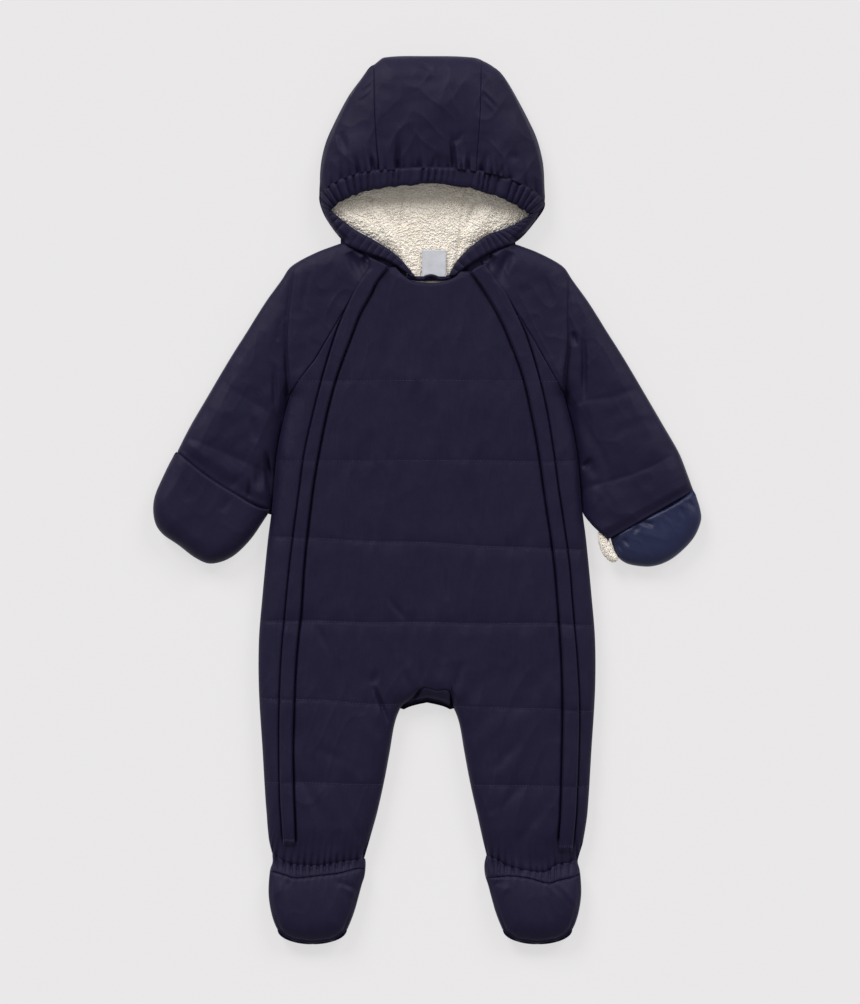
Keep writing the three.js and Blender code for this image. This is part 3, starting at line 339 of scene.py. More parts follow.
def two_legs(top, above, bottom, below, leg, middle, edge, split):
    """A grid from the top to the bottom, from one side over the crotch to the other.

    It has rows above the crotch and rows below it, and columns on each leg and between them."""
    y = np.r_[blend(top, CROTCH_ROW, step(above)), blend(CROTCH_ROW, bottom, step(below))[1:]][:, None]
    s = split(y)
    x = np.concatenate([blend(-edge(-1, y), -s, step(leg)), blend(-s, s, step(middle)[1:-1]),
                        blend(s, edge(1, y), step(leg))], 1)
    keep = np.ones((x.shape[0] - 1, x.shape[1] - 1), bool)
    keep[above:, leg:leg + middle] = False
    return x, np.broadcast_to(y, x.shape), keep


x, y, keep = two_legs(
    226, 106, ANKLE + SEAM, 35, 36, 14,
    lambda side, y: side_seam(side, y, SEAM), lambda y: np.where(y > CROTCH_ROW, 24.5, inseam(y)))
between = (np.abs(x) < 24.4) & (y < -150)
y = np.where(between, blend(-150, crotch(np.abs(x)) - 4, ramp(y, -150, CROTCH_ROW)), y)
sewn(cloth("back_shell", x, y, curled(inside(x, y)), shell, keep),
     "back_panel", "shell", (0.34, 0.60), 0.145)

# Front: a wide centre panel between the two zips, two side fronts outside them, and a gusset
# between the legs. The wadding is quilted through in level rows, and every seam pulls the cloth in.
FRONT_ROUND, FOLD_SCALE, NECK = 22, 1.8, 206
loft = curve(
    [245, 200, 150, 100, 0, -100, -190, -260, -310, -332, -345, -358, -380, -405, -422],
    [7.5, 9.5, 11.5, 13, 13.4, 13.5, 13, 13, 12, 9, 8, 11, 14, 14, 11])
# The main folds: both ends, the depth at each end before scaling, and the half width.
FOLDS = [
    (-128, 218, -131, 150, 1.2, 0.4, 5), (133, 216, 134, 150, 1.2, 0.4, 5), (-152, 49, -148, 4, 1, 5, 5),
    (-160, 36, -160, 8, 1, 3, 4.5), (150, 92, 155, 50, 1, 1.5, 6), (152, 42, 160, 20, 1, 1, 5),
    (-73, 236, -62, 208, 4, 1, 5), (79, 236, 66, 205, 4, 1, 5), (-60, 231, -56, 216, 3, 1, 4),
    (62, 232, 58, 216, 3, 1, 4), (-5, -150, -5, -178, 0.2, 1.2, 3), (-5, -179, -16, -191, 2.0, 2.6, 1.8),
    (23, -180, 26, -196, 2.0, 2.6, 1.8), (-26, -150, -14, -186, 0.3, 1.6, 4),
    (34, -150, 25, -184, 0.3, 1.4, 4), (-50.5, -176, -36, -213, 2.8, 1.8, 2.0),
    (18.7, -66, 18.7, -96, 0.4, 1.0, 2.4), (-41, -88, -18, -116, 0.2, 1.0, 3),
    (-104, -119, -91, -150, 1.0, 0.2, 3.5), (62, -258, 90, -226, 0.9, 0.4, 5),
    (60, -300, 104, -258, 0.9, 0.3, 5), (84, -328, 120, -282, 0.7, 0.3, 5),
    (-122, -258, -96, -304, 0.8, 0.3, 5), (-108, -234, -70, -252, 0.6, 0.2, 5),
    (-62, -326, -76, -294, 0.9, 0.2, 4), (-46, -160, -52, -176, 0.3, 1.4, 4),
    (14, -122, 12, -172, 0.2, 0.9, 4), (-22, -120, -19, -160, 0.2, 0.9, 4),
]
# The quilting rows: height on the body, climb to the right as a share, and how far drawn in.
QUILTING = [
    (113, -0.005, 0.35), (36.5, 0, 0.45), (-41, -0.038, 0.75),
    (-116.5, -0.012, 0.95), (-194.5, -0.035, 0.85), (-270.5, -0.018, 0.75),
]
neckline = curve([-38, -28.5, -15, 0, 14, 28, 38], [221, 215.5, 208.4, 206.2, 207, 211.5, 217])
gusset_seam = curve([-25.2, -14, -5, 8, 22, 25.2], [-197, -188, -178.5, -181, -182, -197])
GUSSET_FOLDS = [
    (-5, -180, -15.5, -191, 1.2, 1.8, 1.6), (22, -181, 26, -195, 1.2, 1.8, 1.6),
]
# The flaps over the zips: their lower ends, and free edge and sewn edge on the left and the right.
FLAP_END = {-1: -326, 1: -332}
FLAPS = {
    "y": [221, 207, 196, 176, 156, 120, 86, 47, 9, -57, -103, -148, -193, -238, -294, -337],
    "left": [37.2, 48.2, 53.6, 64.6, 72.2, 85.5, 95, 103, 109.3, 116.9, 120, 124.5, 126.7, 127.8,
             126.4, 123.5],
    "left sewn": [55.7, 64.3, 70.3, 79.5, 87, 97.9, 106.6, 115.4, 120.7, 129.2, 133.7, 137.6,
                  139.5, 139.9, 138.5, 133.8],
    "right": [38, 49.1, 56.4, 68.1, 77.4, 91, 99.3, 106.5, 111.9, 121.4, 125.4, 128.3, 129.6, 129,
              127.5, 126],
    "right sewn": [58.3, 67.6, 75.3, 85.1, 93.9, 105, 112.9, 119.4, 124.5, 134, 137.8, 141.6, 144,
                   143.6, 141.4, 139],
}
flap_edges = {side: [curve(FLAPS["y"], FLAPS[hand + edge]) for edge in ("", " sewn")]
              for side, hand in SIDES}
# Where the elastic draws each leg in, along the ankle.
ELASTIC = {
    -1: curve([-143.9, -134.2, -122.8, -107.1, -90.5, -73.4, -58.7],
              [-336.7, -343, -345.8, -346.8, -344.9, -342, -340.5]),
    1: curve([58.2, 68.2, 80.6, 97.7, 114.7, 124, 135.7, 145.9],
             [-336.7, -341, -347.7, -351.5, -352.5, -346.4, -343.9, -340.5]),
}


def panel(node, x, y, z, flat, area=None, held="laid", on=None, **making):
    """A piece of the shell cloth, named after its solid."""
    sewn(cloth(f"{node}_shell", x, y, z, shell, **making), node, "shell", flat, area, held, on)


def hem(x, y, z, axis, end, reach, drop, toward=None):
    """Adds a row (axis 1) or a column (axis 2) that goes on under the next piece, `drop` lower."""
    grid = np.stack(np.broadcast_arrays(x, y, z))
    rim, inner = (np.take(grid, [k], axis) for k in ((0, 1) if end == 0 else (-1, -2)))
    along, across = toward or (rim - inner)[:2]
    over = rim[2] > MID
    far = np.where(over, reach, SEAM) / np.maximum(np.hypot(along, across), 0.001)
    low = np.where(over, np.maximum(rim[2] - drop, MID + 0.1), rim[2])
    new = np.stack([rim[0] + along * far, rim[1] + across * far, low])
    return np.concatenate([new, grid] if end == 0 else [grid, new], axis)


def across_flap(side, y, share):
    """The distance from the middle at a share of the way from a flap's free to its sewn edge."""
    free, fixed = flap_edges[side]
    return blend(free(y), fixed(y), share)


def folded(x, y, folds):
    """Depth of some troughs, each from one place to another; a ridge has a negative depth."""
    depth = np.zeros(np.broadcast(x, y).shape)
    for ax, ay, bx, by, start, end, wide in folds:
        long = (bx - ax) ** 2 + (by - ay) ** 2
        t = np.clip(((x - ax) * (bx - ax) + (y - ay) * (by - ay)) / long, 0, 1)
        far = np.hypot(x - blend(ax, bx, t), y - blend(ay, by, t))
        depth += blend(start, end, t) * dip(far, wide) * (1 - (2 * t - 1) ** 2)
    return depth


def rumple(x, y, long, short, angle, seed):
    """Smooth chance relief from -1 to 1: hills `long` along the angle and `short` across it."""
    turn = math.radians(angle)
    u = (x * math.cos(turn) + y * math.sin(turn)) / long
    v = (y * math.cos(turn) - x * math.sin(turn)) / short
    knots = np.random.default_rng(seed).uniform(-1, 1, (97, 97))
    i, j = np.floor(u).astype(int), np.floor(v).astype(int)
    u, v = u - i, v - j
    u, v = u * u * (3 - 2 * u), v * v * (3 - 2 * v)
    near, far = (blend(knots[i % 97, k % 97], knots[(i + 1) % 97, k % 97], u) for k in (j, j + 1))
    return blend(near, far, v)


def waver(s, long, seed):
    """The same along one line."""
    return rumple(s, 0 * s, long, 1, 0, seed)


def creased(x, y, long, short, angle, seed):
    """Thin soft ridges, as cloth makes where it gives a little: 0 between them, 1 on top."""
    return (1 - np.abs(rumple(x, y, long, short, angle, seed))) ** 4


def relief(x, y, hills, ridges=()):
    """Both kinds together, each given by its height, length, width, angle and seed."""
    return (sum(height * rumple(x, y, *kind) for height, *kind in hills)
            + sum(height * creased(x, y, *kind) for height, *kind in ridges))


def rolled(far, wide, depth):
    """How much lower cloth lies close to a seam."""
    return depth * (1 - rounded(far, wide))


def front_height(x, y):
    far = inside(x, y)
    up = loft(y) * rounded(far, FRONT_ROUND)
    return RIM + np.maximum(up - FOLD_SCALE * folded(x, y, FOLDS) * rounded(far, 12), 0)


def quilting_row(row, x):
    level, climb, _ = QUILTING[row]
    return level + climb * x + 1.2 * rumple(x, 0 * x, 55, 55, 0, 40 + row)


def quilted(x, y):
    """The quilting rows: a soft valley, the stitched line in it, and the cloth puckered beside it."""
    depth = np.zeros(np.shape(x))
    for row, (_, _, drawn_in) in enumerate(QUILTING):
        far = y - quilting_row(row, x)
        depth += (0.75 * dip(far, 7) + 0.6 * dip(far, 1.3)) * (drawn_in + 0.25 * waver(x, 38, 44 + row))
        depth += 0.8 * dip(far, 10) * rumple(x, y, 7, 24, 0, 50 + row)
    return depth


def puckers(s, pitch, seed):
    """Round folds side by side along s, uneven in width and height: 0 in a valley, up to 1 on top."""
    phase = s / pitch + 0.8 * waver(s, 2.3 * pitch, seed)
    return np.abs(np.sin(math.pi * phase)) ** 0.6 * (0.8 + 0.2 * waver(s, 1.4 * pitch, seed + 1))


def ankle_puckers(x):
    return puckers(x, 6.2, 60)


def body_height(x, y):
    soft = relief(x, y, [(0.45, 70, 13, 88, 1), (0.2, 26, 12, 70, 2)],
                  [(0.2, 42, 12, 82, 6), (0.15, 30, 13, 112, 7)])
    chest = relief(x, y, [(0.55, 60, 10, 95, 3)], [(0.25, 60, 13, 86, 4)])
    legs = 0.55 * rumple(np.abs(x), y, 38, 13, 64, 5) + 0.35 * creased(x, y, 48, 14, 68, 8)
    soft = soft + ramp(y, -20, 140) * chest + ramp(y, -120, -180) * legs
    return np.maximum(front_height(x, y) - quilted(x, y) + 1.5 * soft * rounded(inside(x, y), 12), RIM)


def elastic_line(x):
    return np.where(x < 0, ELASTIC[-1](x), ELASTIC[1](x)) + 1.8 * (ankle_puckers(x) - 0.5)


def to_elastic(x, y):
    """Draws the ends of the legs down to the elastic line."""
    return y + (elastic_line(x) - ANKLE) * ramp(y, -300, ANKLE) ** 2


def gathered(x, y):
    """Puckers that run up from the elastic of an ankle."""
    far = np.abs(y - elastic_line(x))
    return 5.2 * (ankle_puckers(x * (1 + 0.001 * far)) - 0.8) * np.exp(-far / 8.5) - 0.6 * dip(far, 1.6)


def zip_edge(x, y):
    return np.where(x < 0, across_flap(-1, y, 0.2), across_flap(1, y, 0.2)) - SEAM


x, y, keep = two_legs(
    NECK, 250, ANKLE, 86, 86, 30, lambda side, y: across_flap(side, y, 0.2) - SEAM,
    lambda y: np.where(y > CROTCH_ROW, blend(24.5, 18, ramp(y, -60, 200)), inseam(y)))
raised = y + (neckline(x) - NECK) * ramp(y, 150, NECK) ** 2
x, y = np.where(y > 150, x * zip_edge(x, raised) / zip_edge(x, y), x), raised
over = (np.abs(x) < 25.2) & (y < -120) & (y >= CROTCH_ROW)
y = np.where(over, blend(-120, gusset_seam(x) + SEAM, ramp(y, -120, CROTCH_ROW)), y)
y = to_elastic(x, y)
free = np.where(x < 0, flap_edges[-1][0](y), flap_edges[1][0](y)) - np.abs(x)
across = 25 * (2 * step(20) - 1)
gusset_line = [(across, gusset_seam(across))]
z = body_height(x, y) - 3.5 * dip(free, 1.6) * ramp(y, FLAP_END[-1], FLAP_END[-1] + 5)
z = z - rolled(neckline(x) - y, 3, 1.2) - rolled(distance(gusset_line, x, y), 1.6, 0.9) + gathered(x, y)
x, y, z = hem(x, y, np.maximum(z, RIM), 1, -1, 3.5, 3.0)
panel("front_centre", x, y, z, (0.27, 0.56), 0.118, on="back_shell", keep=np.r_[keep, keep[-1:]])

for side, hand in SIDES:
    y = blend(205, ANKLE, column(340))
    x = side * blend(across_flap(side, y, 0.6) + SEAM, side_seam(side, y, SEAM), step(30))
    y = to_elastic(x, y)
    z = body_height(x, y) + gathered(x, y)
    z = z - np.where(y > ARMPIT, rolled(side_seam(side, y, SEAM) - np.abs(x), 2, 0.8), 0)
    beside_flap = dip(np.abs(x) - flap_edges[side][1](y), 1.3)
    z = z - 2.0 * beside_flap * ramp(y, FLAP_END[side], FLAP_END[side] + 5)
    x, y, z = hem(x, y, np.maximum(z, RIM), 1, -1, 3.5, 3.0)
    panel(f"front_side_{hand}", x, y, z, (0.075, 0.56), 0.016, on="back_shell")

x = 22 * (2 * step(28) - 1)
y = blend(gusset_seam(x) - SEAM, crotch(np.abs(x)) - 0.6, column(10))
z = front_height(x, y) - rolled(distance(gusset_line, x, y), 1.6, 0.9)
z = z + 0.4 * rumple(x, y, 6, 20, 0, 70) - folded(x, y, GUSSET_FOLDS)
x, y, z = hem(x, y, np.maximum(z, RIM), 1, 0, 1.5, 1.5)
sewn(cloth("gusset_shell", x, y, z, shell, turn=1.0),
     "crotch_gusset", "shell", (0.046, 0.018), 0.0006, on="back_shell")

# Zips: under each flap, a woven tape with two rows of moulded teeth and nothing on top to see.
# The teeth follow the tape as small beads set out by Geometry Nodes.


def beads(name, form, finish, sizes, lay):
    """Small round beads on a form, made real: lay gives the sockets of their places, turns, sizes."""
    tree = bpy.data.node_groups.new(name, "GeometryNodeTree")
    tree.interface.new_socket("Form", in_out="INPUT", socket_type="NodeSocketGeometry")
    for size in sizes:
        tree.interface.new_socket(size, in_out="INPUT", socket_type="NodeSocketFloat")
    tree.interface.new_socket("Beads", in_out="OUTPUT", socket_type="NodeSocketGeometry")
    v = Value(tree)
    given = {key: v.node("NodeGroupInput", out=key) for key in ("Form", *sizes)}
    places, turned, scale = lay(v, given)
    ball = v.node("GeometryNodeSetShadeSmooth", {"Geometry": v.node("GeometryNodeMeshIcoSphere")})
    inputs = {"Points": places, "Instance": ball, "Rotation": turned, "Scale": scale}
    placed = v.node("GeometryNodeInstanceOnPoints", inputs)
    real = v.node("GeometryNodeRealizeInstances", {0: placed})
    painted = v.node("GeometryNodeSetMaterial", {"Geometry": real, "Material": finish})
    painted.feed(tree.nodes.new("NodeGroupOutput"), "Beads")
    maker = form.modifiers.new("beads", "NODES")
    maker.node_group = tree
    for socket in tree.interface.items_tree:
        if socket.name in sizes:
            maker[socket.identifier] = sizes[socket.name]
    mesh = bpy.data.meshes.new_from_object(form.evaluated_get(bpy.context.evaluated_depsgraph_get()))
    form.modifiers.clear()
    mesh.name = name
    piece = shown(name, mesh)
    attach(piece, "root")


def set_out(name, paths, finish, pitch, radius, length):
    """Beads along some paths, each `length` long; all in millimetres."""
    points, edges = [], []
    for path in paths:
        x, y, z = np.broadcast_arrays(*path)
        edges += [(k, k + 1) for k in range(len(points), len(points) + len(x) - 1)]
        points += (np.stack([x + sway(y), y, z], -1) / 1000).tolist()
    mesh = bpy.data.meshes.new(f"{name} paths")
    mesh.from_pydata(points, edges, [])
    carrier = shown(f"{name} paths", mesh)

    def lay(v, given):
        line = v.node("GeometryNodeMeshToCurve", {0: given["Form"]})
        inputs = {"Curve": line, "Length": given["Pitch"]}
        places = v.node("GeometryNodeCurveToPoints", inputs, mode="LENGTH")
        turned = Value(v.tree, places.socket.node.outputs["Rotation"])
        scale = {"X": given["Radius"], "Y": given["Radius"], "Z": given["Length"] * 0.5}
        return places, turned, v.node("ShaderNodeCombineXYZ", scale)

    sizes = {"Pitch": pitch / 1000, "Radius": radius / 1000, "Length": length / 1000}
    beads(name, carrier, finish, sizes, lay)
    bpy.data.objects.remove(carrier)


def mottled(name, dark, light, scale, *rest):
    """A finish whose colour only varies a little from place to place."""
    made, shader, place = finish_of(name, *rest)
    place.noise(scale).tint(dark, light).feed(shader, "Base Color")
    return made


tape_cloth = woven("zip tape", (0.010, 0.009, 0.022), (0.016, 0.014, 0.034), 0.7, 0.3, 0.0008, 0.3)
teeth_finish = mottled("zip teeth", (0.010, 0.010, 0.022), (0.022, 0.021, 0.044), 900.0, 0.32, 0.5)
for side, hand in SIDES:
    y = blend(195, -330, column(260))
    x = side * across_flap(side, y, blend(0.2, 0.6, step(4)))
    z = body_height(x, y) - 0.6
    sewn(cloth(f"zip_{hand}_tape", x, y, z, tape_cloth, turn=1.2),
         f"zip_{hand}", "shell", (0.010, 0.56), 0.0034, on="back_shell")
    rows = [(x[:, 2] + k, y[:, 0], z[:, 2] + 0.2) for k in (-0.5, 0.5)]
    set_out(f"zip_{hand}_teeth", rows, teeth_finish, 1.6, 0.45, 1.1)

# Zip flaps: a folded strip of the shell cloth beside each zip, sewn down on the outer side and
# loose on the inner one, from the neck to the ankle. A bar of stitches closes each lower end.
FLAP_THICK = 2.6
FLAP_TOP = {-1: 225, 1: 219.5}


def flap_height(x, y, share, width):
    crown = rounded(share * width, 1.6) * (0.35 + 0.65 * rounded((1 - share) * width, 2.0))
    raised = 0.6 * ramp(y, 185, 205) + 0.25 * rumple(x, y, 8, 26, 0, 80)
    return body_height(x, y) + 0.5 + (FLAP_THICK + raised) * crown


thread = mottled("navy thread", (0.014, 0.012, 0.042), (0.026, 0.023, 0.066), 1600.0,
                 0.5, 0.5, 0.1, (0.6, 0.6, 0.9))
for side, hand in SIDES:
    top, end, share = FLAP_TOP[side], FLAP_END[side], step(16)
    y = blend(top, ANKLE, column(390))
    y = y + blend(-3, 6, share) * ramp(y, top - 22, top)
    x = side * across_flap(side, y, share)
    width = across_flap(side, y, 1) - across_flap(side, y, 0)
    y = to_elastic(x, y)
    z = flap_height(x, y, share, width) + gathered(x, y)
    z = z - rolled(top + 6 - y, 2.5, 1.2) - 2.4 * ramp(y, end, end - 2.5)
    panel(f"zip_flap_{hand}", *hem(x, y, z, 1, -1, 1.5, 2.0), (0.032, 0.58), 0.0105, "folded",
          "front_centre_shell", turn=2.2)
    level, share = end + 2.5, blend(0.1, 0.95, step(8))
    x = side * across_flap(side, level, share)
    z = flap_height(x, level, share, 13) + 0.1
    set_out(f"zip_flap_{hand}_bar", [(x, level + k, z) for k in (0, 1.1)], thread, 1.7, 0.3, 1.3)

# Sleeves: raglan sleeves of one piece each, folded at the upper arm, from the seam on the front to
# the seam on the back, quilted twice across. Deep soft folds run down from the armpit.
SLEEVE_QUILTS = {
    -1: [([-205, -192, -170, -149, -138], [115, 108, 96, 84, 77]),
         ([-232, -215, -190, -165, -150], [60, 55, 44, 32, 24])],
    1: [([140, 158, 176, 195, 206], [91, 95.5, 98.5, 103.5, 108]),
        ([148, 163, 188, 211.5, 232], [10, 15.5, 22, 31, 42])],
}
SLEEVE_CREASES = [
    (-152.5, 46, -148, -2, 3.5, 5, 1.8), (-168.5, 22, -170, -2, 0.8, 3, 1.8),
    (-176, 26, -184, 12, 0.3, 1.4, 3), (149, 164, 149, 94, 1.6, 3, 2.6), (139, 160, 141, 146, 2.5, 1, 2.4),
    (147, 30, 157, 39, 3, 1, 2.4), (-145, 132, -144, 84, 0.8, 2.6, 2.6),
    (-140, 172, -142, 150, 0.4, 1.4, 2.6), (-112, 218, -120, 172, 0.9, 0.1, 3),
    (112, 218, 121, 168, 0.9, 0.1, 3), (160, 70, 172, 20, 0.3, 1.2, 4), (-172, 92, -160, 52, 0.3, 1.2, 4),
]
# The long fold from the shoulder to the armpit, and on down the side of the body: beyond its line
# the sleeve lies lower. Here are its distance from the middle, its depth and how far it reaches.
FOLD_LEVELS = [-10, 24, 47, 77, 99, 115, 147, 180, 213, 226]
FOLD_LINE = {
    -1: curve(FOLD_LEVELS, [148, 145, 142.5, 136.5, 131, 131.1, 133, 131.1, 127.3, 125]),
    1: curve(FOLD_LEVELS, [148, 145, 142.5, 136.5, 130.5, 129.8, 133.5, 133.5, 133.9, 131]),
}
fold_depth = curve([-10, 47, 99, 130, 160, 213, 228], [2.5, 3.5, 7.2, 6.4, 3.8, 1.6, 0])
fold_reach = curve([-10, 99, 160, 213], [7, 10, 6, 4])


def shoulder_fold(side, x, y):
    beyond = np.abs(x) - FOLD_LINE[side](y)
    lower = ramp(beyond, -0.64, 0.96) * np.exp(-np.maximum(beyond, 0) / fold_reach(y))
    return fold_depth(y) * (lower - 0.15 * dip(beyond + 3, 2.5))


for side, hand in SIDES:
    fold_x, fold_y, seam_x, seam_y = (station(line) for line in SLEEVES[side].values())
    last = len(SLEEVES[side]["x"]) - 1
    row = last * column(15 * last)
    front = 1 - 0.985 * step(66)
    share = np.r_[front, 0, 0.02 + 0.98 * step(16)]
    t = row / last
    gap = np.where(share == 1, 3, 2) * SEAM
    wrist_bow = (24 if side < 0 else 0) * share * (1 - share) * ramp(row, last - 1, last)
    x = side * (blend(fold_x(t), seam_x(t) + gap, share) + 0.53 * wrist_bow)
    y = blend(fold_y(t), seam_y(t), share) - 0.85 * wrist_bow
    far = inside(x, y)
    seam_line = [(side * np.array(raglan_lines[side][0]), raglan_lines[side][1])]
    lines = distance(SLEEVE_QUILTS[side], x, y)
    soft = relief(x, y, [(0.45, 36, 17, -side * 58, 20), (0.2, 15, 9, 30, 22)],
                  [(0.3, 40, 16, -side * 62, 21), (0.25, 26, 13, -side * 85, 23)])
    folds = FOLD_SCALE * folded(x, y, SLEEVE_CREASES) * rounded(far, 6) + shoulder_fold(side, x, y)
    top = front_height(x, y) + 1.8 * soft * rounded(far, 10) - folds
    top = top - 0.9 * dip(lines, 7) - 0.6 * dip(lines, 1.3) - rolled(distance(seam_line, x, y), 2, 0.8)
    top = top + 0.5 * dip(lines, 8) * rumple(x, y, 8, 8, 0, 24) - 2.6 * ramp(row, last - 0.45, last - 0.15)
    z = np.where(share > 0, np.maximum(top, RIM), MID)
    z[:, len(front) + 1:] = curled(far)[:, len(front) + 1:]
    x, y, z = hem(*hem(x, y, z, 2, 0, 3.0, 3.0, (-side, -0.3)), 1, 0, 4.0, 2.5)
    if side < 0:
        x, y, z = hem(x, y, z, 1, -1, 6.0, 4.0)
    panel(f"sleeve_{hand}", x, y, z, (0.26, 0.34), 0.043, "folded", grain=-side * 52)

# Quilting stitches on the body: long stitches of matching thread, drawn into the wadding, set out
# along each row by Geometry Nodes.
rows = []
for k, (level, _, _) in enumerate(QUILTING):
    inner = 0.5 if level > -190 else max(26, inseam(level) + 2)
    for side in (-1, 1):
        free, fixed = (edge(level) for edge in flap_edges[side])
        for start, end in ((inner, free - 3), (fixed + 1.5, side_seam(side, level, 3))):
            px = side * np.linspace(start, end, 60)
            line = quilting_row(k, px)
            rows.append((px, line, body_height(px, line) + 0.2))
set_out("quilting_stitches", rows, thread, 3.1, 0.24, 2.2)

# Mittens: each closes the end of a sleeve. The left one is folded over, with its shell cloth up;
# the right one lies open and shows its satin lining, with a roll of plush along its inner side.
MITTEN_LEFT = {
    "wx": [-237.9, -231.1, -221.1, -210.1, -198.1, -186.1, -176.1, -167.1, -159.1, -152.1, -149.5],
    "wy": [45.7, 40.5, 32.1, 23.5, 15.7, 8.3, 2.3, -3.3, -7.2, -8.9, -8.7],
    "x": [-239.8, -249, -259, -259.2, -252, -236, -220, -205, -186, -168, -151.5],
    "y": [44, 26, 2, -18, -31.5, -43, -55, -60.5, -54.5, -38, -14],
}
MITTEN_RIGHT = {
    "wx": [253.6, 247.5, 239, 230, 220.5, 211, 202.5, 194.5, 187.5, 180.5, 174.6],
    "wy": [8, 4, -1.8, -6.9, -11.7, -16.6, -20.8, -24.9, -28.9, -33.3, -37.3],
    "x": [255.4, 259.6, 260.2, 254, 242, 228.5, 214, 199.5, 188, 180, 176],
    "y": [5, -9, -20, -35, -48.5, -58.3, -63, -62.6, -59.5, -52.5, -42.5],
}
MITTEN_ROUND = 18
FOLDED_MITTEN = [
    (-184, 8, -196, -12, 0.4, 2.0, 4), (-232, 22, -226, -2, 0.2, 1.2, 6),
]
OPEN_MITTEN = [
    (201, -20, 215.6, -23.8, 2.0, 3.2, 2.2), (200, -23.8, 196, -33, 2.8, 0.8, 2.2),
    (240, -6, 246, -20, 1.8, 0.4, 2.6), (206, -30, 232, -38, -0.8, -0.5, 5),
    (186, -36, 192, -44, 2.6, 0.6, 1.8), (181, -40, 186, -50, 2.0, 0.6, 1.8),
    (248, 0, 255, -10, 2.2, 0.5, 1.8), (222, -16, 228, -30, 1.2, 0.2, 2.6),
]
satin = woven("navy satin lining", (0.0080, 0.0105, 0.0400), (0.0135, 0.0170, 0.0560),
              0.42, 0.26, 0.0003, 0.35)


def mitten(name, table, rows, columns, finish, up=0, soft=None, creases=()):
    """A mitten's upper cloth, `up` high in its middle, or without a height its cloth on the table."""
    wx, wy, tip_x, tip_y = (station(line) for line in table.values())
    t, edge = column(rows), step(40)
    x, y = blend(wx(t), tip_x(t), step(columns)), blend(wy(t), tip_y(t), step(columns))
    far = distance([(tip_x(edge), tip_y(edge))], x, y)
    if not up:
        return cloth(name, x, y, curled(far), finish, grain=40)
    z = RIM + up * rounded(far, MITTEN_ROUND)
    z = z + (relief(x, y, *soft) - folded(x, y, creases)) * rounded(far, 8)
    z = np.maximum(z - rolled(distance([(wx(edge), wy(edge))], x, y), 3, 1.6), RIM)
    if finish == satin:
        x, y, z = hem(x, y, z, 2, 0, 3.0, 1.5)
    return cloth(name, x, y, z, finish, grain=40)


folded_soft = [(0.45, 28, 14, 40, 30)], [(0.4, 26, 13, 60, 31)]
open_soft = [(0.5, 24, 10, -35, 32)], [(0.35, 20, 9, -20, 33)]
sewn(mitten("mitten_left_flap_shell", MITTEN_LEFT, 84, 48, shell, 15.5, folded_soft, FOLDED_MITTEN),
     "mitten_left_flap", "shell", (0.13, 0.08), 0.0080, held="folded", on="sleeve_left_shell")
sewn(mitten("mitten_left_back_shell", MITTEN_LEFT, 30, 14, shell),
     "mitten_left_back", "shell", (0.13, 0.08), 0.0075)
sewn(mitten("mitten_right_satin", MITTEN_RIGHT, 84, 40, satin, 10.5, open_soft, OPEN_MITTEN),
     "mitten_right_lining", "satin", (0.11, 0.06), 0.0044)
sewn(mitten("mitten_right_back_shell", MITTEN_RIGHT, 30, 12, shell),
     "mitten_right_shell", "shell", (0.11, 0.06), 0.0042)

# The plush that peeks out of the open mitten: a cream curly pile on a knitted ground, coloured tan where
# its curl pattern sinks, a painted shade in the hollows of the pile.
# Its curls are small beads strewn over the cloth by Geometry Nodes.
plush, shader, place = finish_of("cream plush", 0.95, 0.15, 0.35, (1.0, 0.96, 0.88))
curl = place.noise(260.0, 3.0, 0.6)
# Painted shade: tan where the curl pattern is low, where the bump below also sinks, over a random tone from
# the larger noise.
tone_and_painted_shade = curl * 0.7 + place.noise(32.0) * 0.6 - 0.15
tone_and_painted_shade.tint((0.78, 0.69, 0.575), (0.92, 0.895, 0.845)).feed(shader, "Base Color")
(place.noise(1500.0, 3.0, 0.7) * 0.6 + curl).bump(0.7, 0.0008).feed(shader, "Normal")


def tube(name, x, y, z, radius, finish, around=12):
    """A closed round tube along a path, with its ends drawn to a point."""
    path = np.stack(np.broadcast_arrays(x, y, z), -1)
    ahead = np.gradient(path, axis=0)
    ahead /= np.linalg.norm(ahead, axis=1)[:, None]
    beside = np.cross(ahead, (0, 0, 1.0))
    beside /= np.linalg.norm(beside, axis=1)[:, None]
    upward = np.cross(beside, ahead)
    angle = (2 * math.pi * np.arange(around) / around)[None, :, None]
    out = np.cos(angle) * beside[:, None] + np.sin(angle) * upward[:, None]
    ring = path[:, None] + np.reshape(radius, (-1, 1, 1)) * out
    tips = path[:1] - ahead[:1] * 0.3, path[-1:] + ahead[-1:] * 0.3
    points = np.concatenate([ring.reshape(-1, 3), *tips])
    last, tip = (len(path) - 1) * around, len(path) * around
    faces = []
    for k in range(around):
        n = (k + 1) % around
        faces += [(i + k, i + around + k, i + around + n, i + n) for i in range(0, last, around)]
        faces += [(tip, k, n), (tip + 1, last + n, last + k)]
    return meshed(name, points, faces, finish)


def curls(name, ground, density, size, seed):
    """Curls of pile strewn over a piece of cloth; density is per square metre, size in metres."""

    def lay(v, given):
        inputs = {"Mesh": given["Form"], "Density": given["Density"], "Seed": seed}
        strewn = v.node("GeometryNodeDistributePointsOnFaces", inputs)

        def chance(low, high):
            inputs = {0: low, 1: high, "Seed": seed + 1}
            return v.node("FunctionNodeRandomValue", inputs, data_type="FLOAT_VECTOR")

        grown, spun = chance((0.7, 0.6, 0.5), (1.5, 1.2, 1.0)), chance((0, 0, 0), (6.3, 6.3, 6.3))
        inputs = {0: grown, "Scale": given["Size"]}
        return strewn, spun, v.node("ShaderNodeVectorMath", inputs, operation="SCALE")

    beads(name, ground, plush, {"Density": float(density), "Size": size}, lay)


